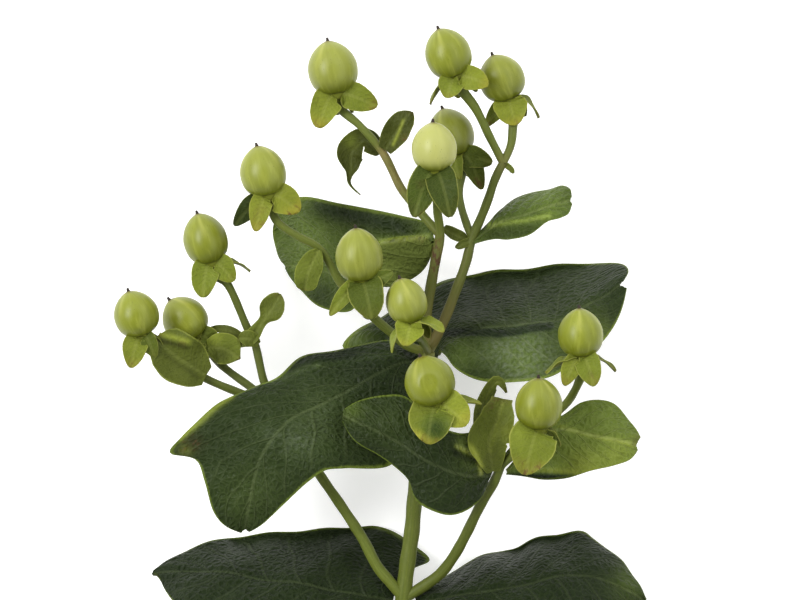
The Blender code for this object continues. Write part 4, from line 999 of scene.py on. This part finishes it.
class Nodes:
    """Short calls for building the nodes of a material or the world around one shader."""

    def __init__(self, owner, shader="Principled BSDF"):
        owner.use_nodes = True
        self.tree = owner.node_tree
        self.shader = self.tree.nodes[shader]

    def link(self, source, socket):
        """Joins an output, or sets a number or colour, to an input."""
        if hasattr(source, "links"):
            self.tree.links.new(source, socket)
        else:
            socket.default_value = source

    def new(self, kind, sockets, **settings):
        """A node with its settings, and with its inputs joined or set."""
        node = self.tree.nodes.new("ShaderNode" + kind)
        for name, value in settings.items():
            setattr(node, name, value)
        for name, value in sockets.items():
            self.link(value, node.inputs[name])
        return node

    def surface(self, sockets):
        """Joins or sets inputs of the shader."""
        for name, value in sockets.items():
            self.link(value, self.shader.inputs[name])

    def attribute(self, name):
        """The outputs of a surface value."""
        return self.new("Attribute", {}, attribute_name=name).outputs

    def split(self, vector):
        """The three numbers of a vector."""
        return self.new("SeparateXYZ", {0: vector}).outputs

    def math(self, operation, *values, clamp=False):
        """A sum on numbers."""
        return self.new("Math", dict(enumerate(values)), operation=operation, use_clamp=clamp).outputs[0]

    def plus(self, first, second):
        """Two numbers added."""
        return self.math("ADD", first, second)

    def times(self, first, second, clamp=False):
        """Two numbers multiplied, held between 0 and 1 where clamp is set."""
        return self.math("MULTIPLY", first, second, clamp=clamp)

    def spread(self, value, base, gain):
        """base plus gain times the value."""
        return self.plus(base, self.times(gain, value))

    def step(self, value, low, high, top=1.0):
        """0 below low, top above high, smooth between; falls instead where low is over high."""
        sockets = {
            "Value": value, "From Min": min(low, high), "From Max": max(low, high),
            "To Min": top * (low > high), "To Max": top * (low < high),
        }
        return self.new("MapRange", sockets, interpolation_type="SMOOTHSTEP").outputs["Result"]

    def stretch(self, vector, *factors):
        """A vector scaled on each axis."""
        return self.new("VectorMath", {0: vector, 1: factors}, operation="MULTIPLY").outputs[0]

    def noise(self, vector, scale, detail=3.0, rough=0.55):
        """Smooth noise from 0 to 1."""
        sockets = {"Vector": vector, "Scale": scale, "Detail": detail, "Roughness": rough}
        return self.new("TexNoise", sockets).outputs["Fac"]

    def warp(self, vector, scale, amount):
        """A vector moved about by noise."""
        noise = self.new("TexNoise", {"Vector": vector, "Scale": scale, "Detail": 2.0}).outputs["Color"]
        sockets = {0: noise, 1: (amount, amount, amount), 2: vector}
        return self.new("VectorMath", sockets, operation="MULTIPLY_ADD").outputs[0]

    def cells(self, vector, scale, feature="DISTANCE_TO_EDGE"):
        """Distance inside a net of cells."""
        node = self.new("TexVoronoi", {"Vector": vector, "Scale": scale}, feature=feature)
        return node.outputs["Distance"]

    def mix(self, share, first, second):
        """A colour between two others."""
        colours = [(*value, 1.0) if isinstance(value, tuple) else value for value in (first, second)]
        return self.new("Mix", {0: share, 6: colours[0], 7: colours[1]}, data_type="RGBA").outputs[2]

    def coats(self, colour, colours, **shares):
        """A colour with others laid over it in turn, each by its share."""
        for name, share in shares.items():
            colour = self.mix(share, colour, colours[name])
        return colour

    def scaled(self, colour, factor):
        """A colour made brighter or darker by a number."""
        return self.new("VectorMath", {0: colour, "Scale": factor}, operation="SCALE").outputs[0]

    def bump(self, height, strength, distance):
        """A raised surface from a height."""
        node = self.new("Bump", {"Strength": strength, "Distance": distance, "Height": height})
        self.surface({"Normal": node.outputs["Normal"]})


# Colours of a blade and its veins, the scale of the net veins, how much the veins show, roughness and relief
BladeLook = namedtuple(
    "BladeLook", "light deep vein deep_vein rim under net_scale vein_share roughness relief",
)
YELLOWED = (0.235, 0.225, 0.024)
BROWNED = (0.085, 0.036, 0.017)
# Pale grey-green of the painted sheen, mixed into the brightest parts of a blade
PAINTED_SHEEN = (0.2, 0.22, 0.175)
LEAF_LOOK = BladeLook(
    light=(0.088, 0.128, 0.02), deep=(0.0095, 0.0165, 0.005), vein=(0.19, 0.23, 0.075),
    deep_vein=(0.05, 0.066, 0.028), rim=(0.095, 0.13, 0.017), under=(0.085, 0.108, 0.022),
    net_scale=0.62, vein_share=0.26, roughness=0.34, relief=0.0004,
)
BRACT_LOOK = BladeLook(
    light=(0.105, 0.145, 0.02), deep=(0.02, 0.034, 0.0075), vein=(0.17, 0.2, 0.05),
    deep_vein=(0.09, 0.115, 0.032), rim=(0.155, 0.185, 0.034), under=(0.074, 0.092, 0.019),
    net_scale=0.85, vein_share=0.25, roughness=0.42, relief=0.00014,
)
SEPAL_LOOK = BladeLook(
    light=(0.132, 0.165, 0.017), deep=(0.027, 0.044, 0.007), vein=(0.2, 0.225, 0.05),
    deep_vein=(0.12, 0.145, 0.035), rim=(0.205, 0.22, 0.046), under=(0.1, 0.12, 0.017),
    net_scale=0.9, vein_share=0.24, roughness=0.45, relief=0.00012,
)
BERRY_COLOURS = {
    "foot": (0.098, 0.116, 0.005), "middle": (0.148, 0.17, 0.006), "shoulder": (0.19, 0.212, 0.018),
    "streak": (0.24, 0.26, 0.034), "suture": (0.31, 0.32, 0.06), "pale": (0.31, 0.315, 0.1),
    "speck": (0.06, 0.065, 0.006), "seat": (0.03, 0.03, 0.006), "top": (0.1, 0.075, 0.015),
    "beak": (0.022, 0.014, 0.01),
}
STEM_COLOURS = {
    "dark": (0.048, 0.066, 0.007), "light": (0.122, 0.146, 0.022), "tan": (0.2, 0.15, 0.055),
    "dot": (0.16, 0.14, 0.045), "red": (0.07, 0.022, 0.012),
}
FLOOR_COLOURS = ((0.8, 0.8, 0.805), (0.83, 0.83, 0.83))


def blade_material(name, look):
    """Leaf and sepal surface: blotches, veins, rims, yellow and brown parts, a paler underside, and painted
    light: the tint's brightness and a painted sheen on the brightest parts.
    """
    material = bpy.data.materials.new(name)
    n = Nodes(material)
    flat = n.attribute("flat")["Vector"]
    phase, edge, face = n.split(n.attribute("mark")["Vector"])
    tint = n.attribute("tint")
    bright, yellow, brown = n.split(tint["Color"])
    dark = tint["Alpha"]
    _, across, _ = n.split(flat)

    blotch = n.noise(flat, 0.16, 4.0)
    fine = n.noise(flat, 1.1)
    upper = n.scaled(n.mix(dark, look.light, look.deep), n.spread(blotch, 0.72, 0.56))
    upper = n.scaled(upper, n.spread(fine, 0.86, 0.28))

    lines = n.step(n.math("PINGPONG", phase, 0.5), 0.085, 0.01)
    side_veins = n.times(lines, n.step(edge, 0.98, 0.7))
    net_cells = n.cells(n.warp(flat, 0.35, 0.8), look.net_scale)
    net_share = n.step(net_cells, 0.1, 0.0, look.vein_share * 0.6)
    side_share = n.times(side_veins, look.vein_share)
    rib_share = n.step(n.math("ABSOLUTE", across), 0.62, 0.18, min(1.0, look.vein_share * 1.6))
    share = n.math("MAXIMUM", n.math("MAXIMUM", net_share, side_share), rib_share)
    upper = n.mix(share, upper, n.mix(dark, look.vein, look.deep_vein))

    rim = n.step(n.plus(edge, n.spread(fine, -0.025, 0.05)), 0.93, 0.985)
    upper = n.mix(n.times(rim, 0.85), upper, look.rim)
    lower = n.scaled(look.under, n.spread(blotch, 0.8, 0.4))
    lower = n.mix(n.times(share, 0.6), lower, tuple(min(1.0, 1.7 * c) for c in look.under))
    lower = n.mix(n.times(rim, 0.8), lower, look.rim)
    colour = n.mix(face, upper, lower)

    colour = n.mix(n.times(yellow, n.spread(blotch, 0.6, 0.8), clamp=True), colour, YELLOWED)
    spots = n.step(n.noise(flat, 0.75, 4.0, 0.65), 0.52, 0.66)
    colour = n.mix(n.times(brown, n.spread(spots, 0.25, 0.9), clamp=True), colour, BROWNED)
    # The tint's brightness partly paints light: the painted highlights, sheen and shade of the leaf patches
    colour = n.scaled(colour, bright)
    # Painted sheen: the brightest parts get an uneven pale grey-green highlight mixed into the colour, a
    # little stronger on the cells between the net veins
    quilt = n.step(net_cells, 0.0, 0.45)
    painted_sheen = n.plus(n.step(fine, 0.35, 0.75, 0.3), n.times(quilt, 0.12))
    colour = n.mix(n.times(n.step(bright, 1.1, 1.8), painted_sheen), colour, PAINTED_SHEEN)

    rough = n.plus(n.spread(fine, look.roughness - 0.11, 0.22), n.times(face, 0.2))
    n.surface({"Base Color": colour, "Roughness": rough, "Specular IOR Level": 0.06})
    small = n.step(n.cells(n.warp(flat, 0.9, 0.3), look.net_scale * 2.2), 0.0, 0.4, 0.22)
    height = n.plus(n.plus(quilt, small), n.times(fine, 0.5))
    n.bump(n.math("SUBTRACT", height, n.times(side_veins, 0.8)), 0.75, look.relief)
    return material


def berry_material(name):
    """Shiny berry skin: long pale streaks from the beak, olive at the foot, dark specks and a brown beak."""
    material = bpy.data.materials.new(name)
    n = Nodes(material)
    along, turn, seed = n.split(n.attribute("mark")["Vector"])
    tint = n.attribute("tint")
    bright, pale, beak = n.split(tint["Color"])
    x, y, z = n.split(n.attribute("flat")["Vector"])
    place = n.new("CombineXYZ", {0: x, 1: y, 2: n.plus(n.times(z, 0.5), seed)}).outputs[0]
    streaks = n.noise(place, 4.5, 3.0, 0.6)
    broad = n.noise(place, 1.4, 2.0)

    colour = n.mix(n.step(along, 0.02, 0.45), BERRY_COLOURS["foot"], BERRY_COLOURS["middle"])
    suture = n.step(n.math("PINGPONG", n.times(turn, 3.0), 0.5), 0.11, 0.0, 0.55)
    colour = n.coats(
        colour, BERRY_COLOURS,
        shoulder=n.step(along, 0.5, 0.98, 0.55),
        streak=n.step(streaks, 0.45, 0.75, 0.5),
        suture=n.times(suture, n.step(along, 0.35, 0.92)),
    )
    colour = n.coats(
        n.scaled(colour, n.spread(broad, 0.76, 0.42)), BERRY_COLOURS,
        pale=n.times(pale, n.step(along, 0.0, 0.3)),
        speck=n.step(n.cells(n.stretch(place, 1.0, 1.0, 2.0), 9.0, "F1"), 0.13, 0.06, 0.65),
        seat=n.step(along, 0.035, 0.0),
        top=n.step(along, 0.955, 0.995, 0.6),
        beak=n.times(beak, n.step(along, 1.0, 1.03)),
    )
    n.surface({
        "Base Color": n.scaled(colour, bright),
        "Roughness": n.plus(n.spread(streaks, 0.32, 0.16), n.times(beak, 0.4)),
        "Specular IOR Level": 0.34,
        "Subsurface Weight": 0.12,
        "Subsurface Radius": (1.0, 1.0, 0.3),
        "Subsurface Scale": 0.0015,
    })
    n.bump(n.noise(place, 22.0, 2.0), 0.12, 0.0001)
    return material


def stem_material(name):
    """Green stem with fine long lines, tan at the nodes and small red spots."""
    material = bpy.data.materials.new(name)
    n = Nodes(material)
    flat = n.attribute("flat")["Vector"]
    tan, red, light = n.split(n.attribute("mark")["Vector"])
    lines = n.noise(n.stretch(flat, 3.2, 3.2, 0.1), 1.5, 4.0, 0.6)
    spots = n.noise(n.stretch(flat, 1.2, 1.2, 0.45), 1.6, 3.0, 0.6)
    colour = n.mix(lines, STEM_COLOURS["dark"], STEM_COLOURS["light"])
    colour = n.coats(
        n.scaled(colour, n.spread(spots, 0.8, 0.4)), STEM_COLOURS,
        tan=n.times(tan, n.spread(lines, 0.45, 0.5), clamp=True),
        dot=n.step(n.cells(n.stretch(flat, 1.4, 1.4, 0.7), 1.9, "F1"), 0.3, 0.12, 0.28),
        red=n.times(red, n.step(spots, 0.46, 0.62), clamp=True),
    )
    rough = n.spread(lines, 0.42, 0.2)
    n.surface({"Base Color": n.scaled(colour, light), "Roughness": rough, "Specular IOR Level": 0.18})
    n.bump(lines, 0.5, 0.00012)
    return material


def floor_material(name):
    """Plain pale floor with the faintest unevenness."""
    material = bpy.data.materials.new(name)
    n = Nodes(material)
    place = n.new("TexCoord", {}).outputs["Object"]
    n.surface({
        "Base Color": n.mix(n.noise(place, 3.0), *FLOOR_COLOURS),
        "Roughness": 0.9,
        "Emission Color": (1.0, 1.0, 1.0, 1.0),
        "Emission Strength": 0.38,
        "Specular IOR Level": 0.1,
    })
    return material


LEAF_SKIN = blade_material("leaf_skin", LEAF_LOOK)
BRACT_SKIN = blade_material("small_leaf_skin", BRACT_LOOK)
SEPAL_SKIN = blade_material("sepal_skin", SEPAL_LOOK)
BERRY_SKIN = berry_material("berry_skin")
STEM_SKIN = stem_material("stem_skin")

# Each piece has a seed of its own for its waves and ripples
make_stem()
for k, name in enumerate(LEAVES):
    make_leaf(name, 3.1 + 5.3 * k)
for k, name in enumerate(BRACTS):
    make_bract(name, 60.0 + 4.1 * k)
for k, number in enumerate(BERRIES):
    make_calyx(number, 140.0 + 9.7 * k)
    make_berry(number, 2.3 * k)


# Floor, light and camera

# Sizes and places are in metres, and the sensor is in millimetres
FLOOR_SIZE = 6.0
FLOOR_DROP = 0.0001
VIEW_WIDTH = 0.192
VIEW_HEIGHT = 0.028
CAMERA_DISTANCE = 3.0
CAMERA_REACH = 20.0
SENSOR_WIDTH = 36.0
LIGHT_TARGET = (0.0, 0.04, 0.03)
HORIZON_LIGHT = 1.2
OVERHEAD_LIGHT = 0.33

bpy.ops.mesh.primitive_plane_add(size=FLOOR_SIZE, location=(0, 0, -FLOOR_DROP))
floor = bpy.context.object
floor.name = "floor"
floor.data.materials.append(floor_material("floor_paper"))
floor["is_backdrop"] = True


def soft_light(name, place, size, energy):
    """A rectangular soft light that looks at the middle of the stem."""
    lamp = bpy.data.lights.new(name, "AREA")
    lamp.shape = "RECTANGLE"
    lamp.size, lamp.size_y = size
    lamp.energy = energy
    holder = bpy.data.objects.new(name, lamp)
    bpy.context.scene.collection.objects.link(holder)
    z = unit(np.subtract(place, LIGHT_TARGET))
    x = unit(np.cross((0.0, 1.0, 0.0), z))
    holder.matrix_world = Matrix([*np.stack([x, np.cross(z, x), z, place], axis=1).tolist(), (0, 0, 0, 1)])


soft_light("light_left", place=(-0.75, 0.25, 0.95), size=(0.35, 0.9), energy=15.5)
soft_light("light_right", place=(0.75, 0.15, 0.95), size=(0.9, 1.6), energy=8.0)
soft_light("light_top", place=(0.0, 1.0, 0.9), size=(2.0, 0.9), energy=9.0)

# The room is brighter towards the horizon than overhead
world = bpy.data.worlds.new("soft_room")
sky = Nodes(world, "Background")
_, _, height = sky.split(sky.new("TexCoord", {}).outputs["Generated"])
brightness = sky.new("MapRange", {"Value": height, "To Min": HORIZON_LIGHT, "To Max": OVERHEAD_LIGHT})
sky.surface({"Color": (1.0, 1.0, 1.0, 1.0), "Strength": brightness.outputs["Result"]})
bpy.context.scene.world = world

camera_data = bpy.data.cameras.new("camera")
camera = bpy.data.objects.new("camera", camera_data)
bpy.context.scene.collection.objects.link(camera)
camera_data.sensor_width = SENSOR_WIDTH
camera_data.lens = SENSOR_WIDTH * (CAMERA_DISTANCE - VIEW_HEIGHT) / VIEW_WIDTH
camera_data.clip_end = CAMERA_REACH
camera.location = (SHIFT[0] * MM, SHIFT[1] * MM, CAMERA_DISTANCE)
bpy.context.scene.camera = camera
bpy.context.scene.view_settings.view_transform = "Standard"

bpy.context.view_layer.update()
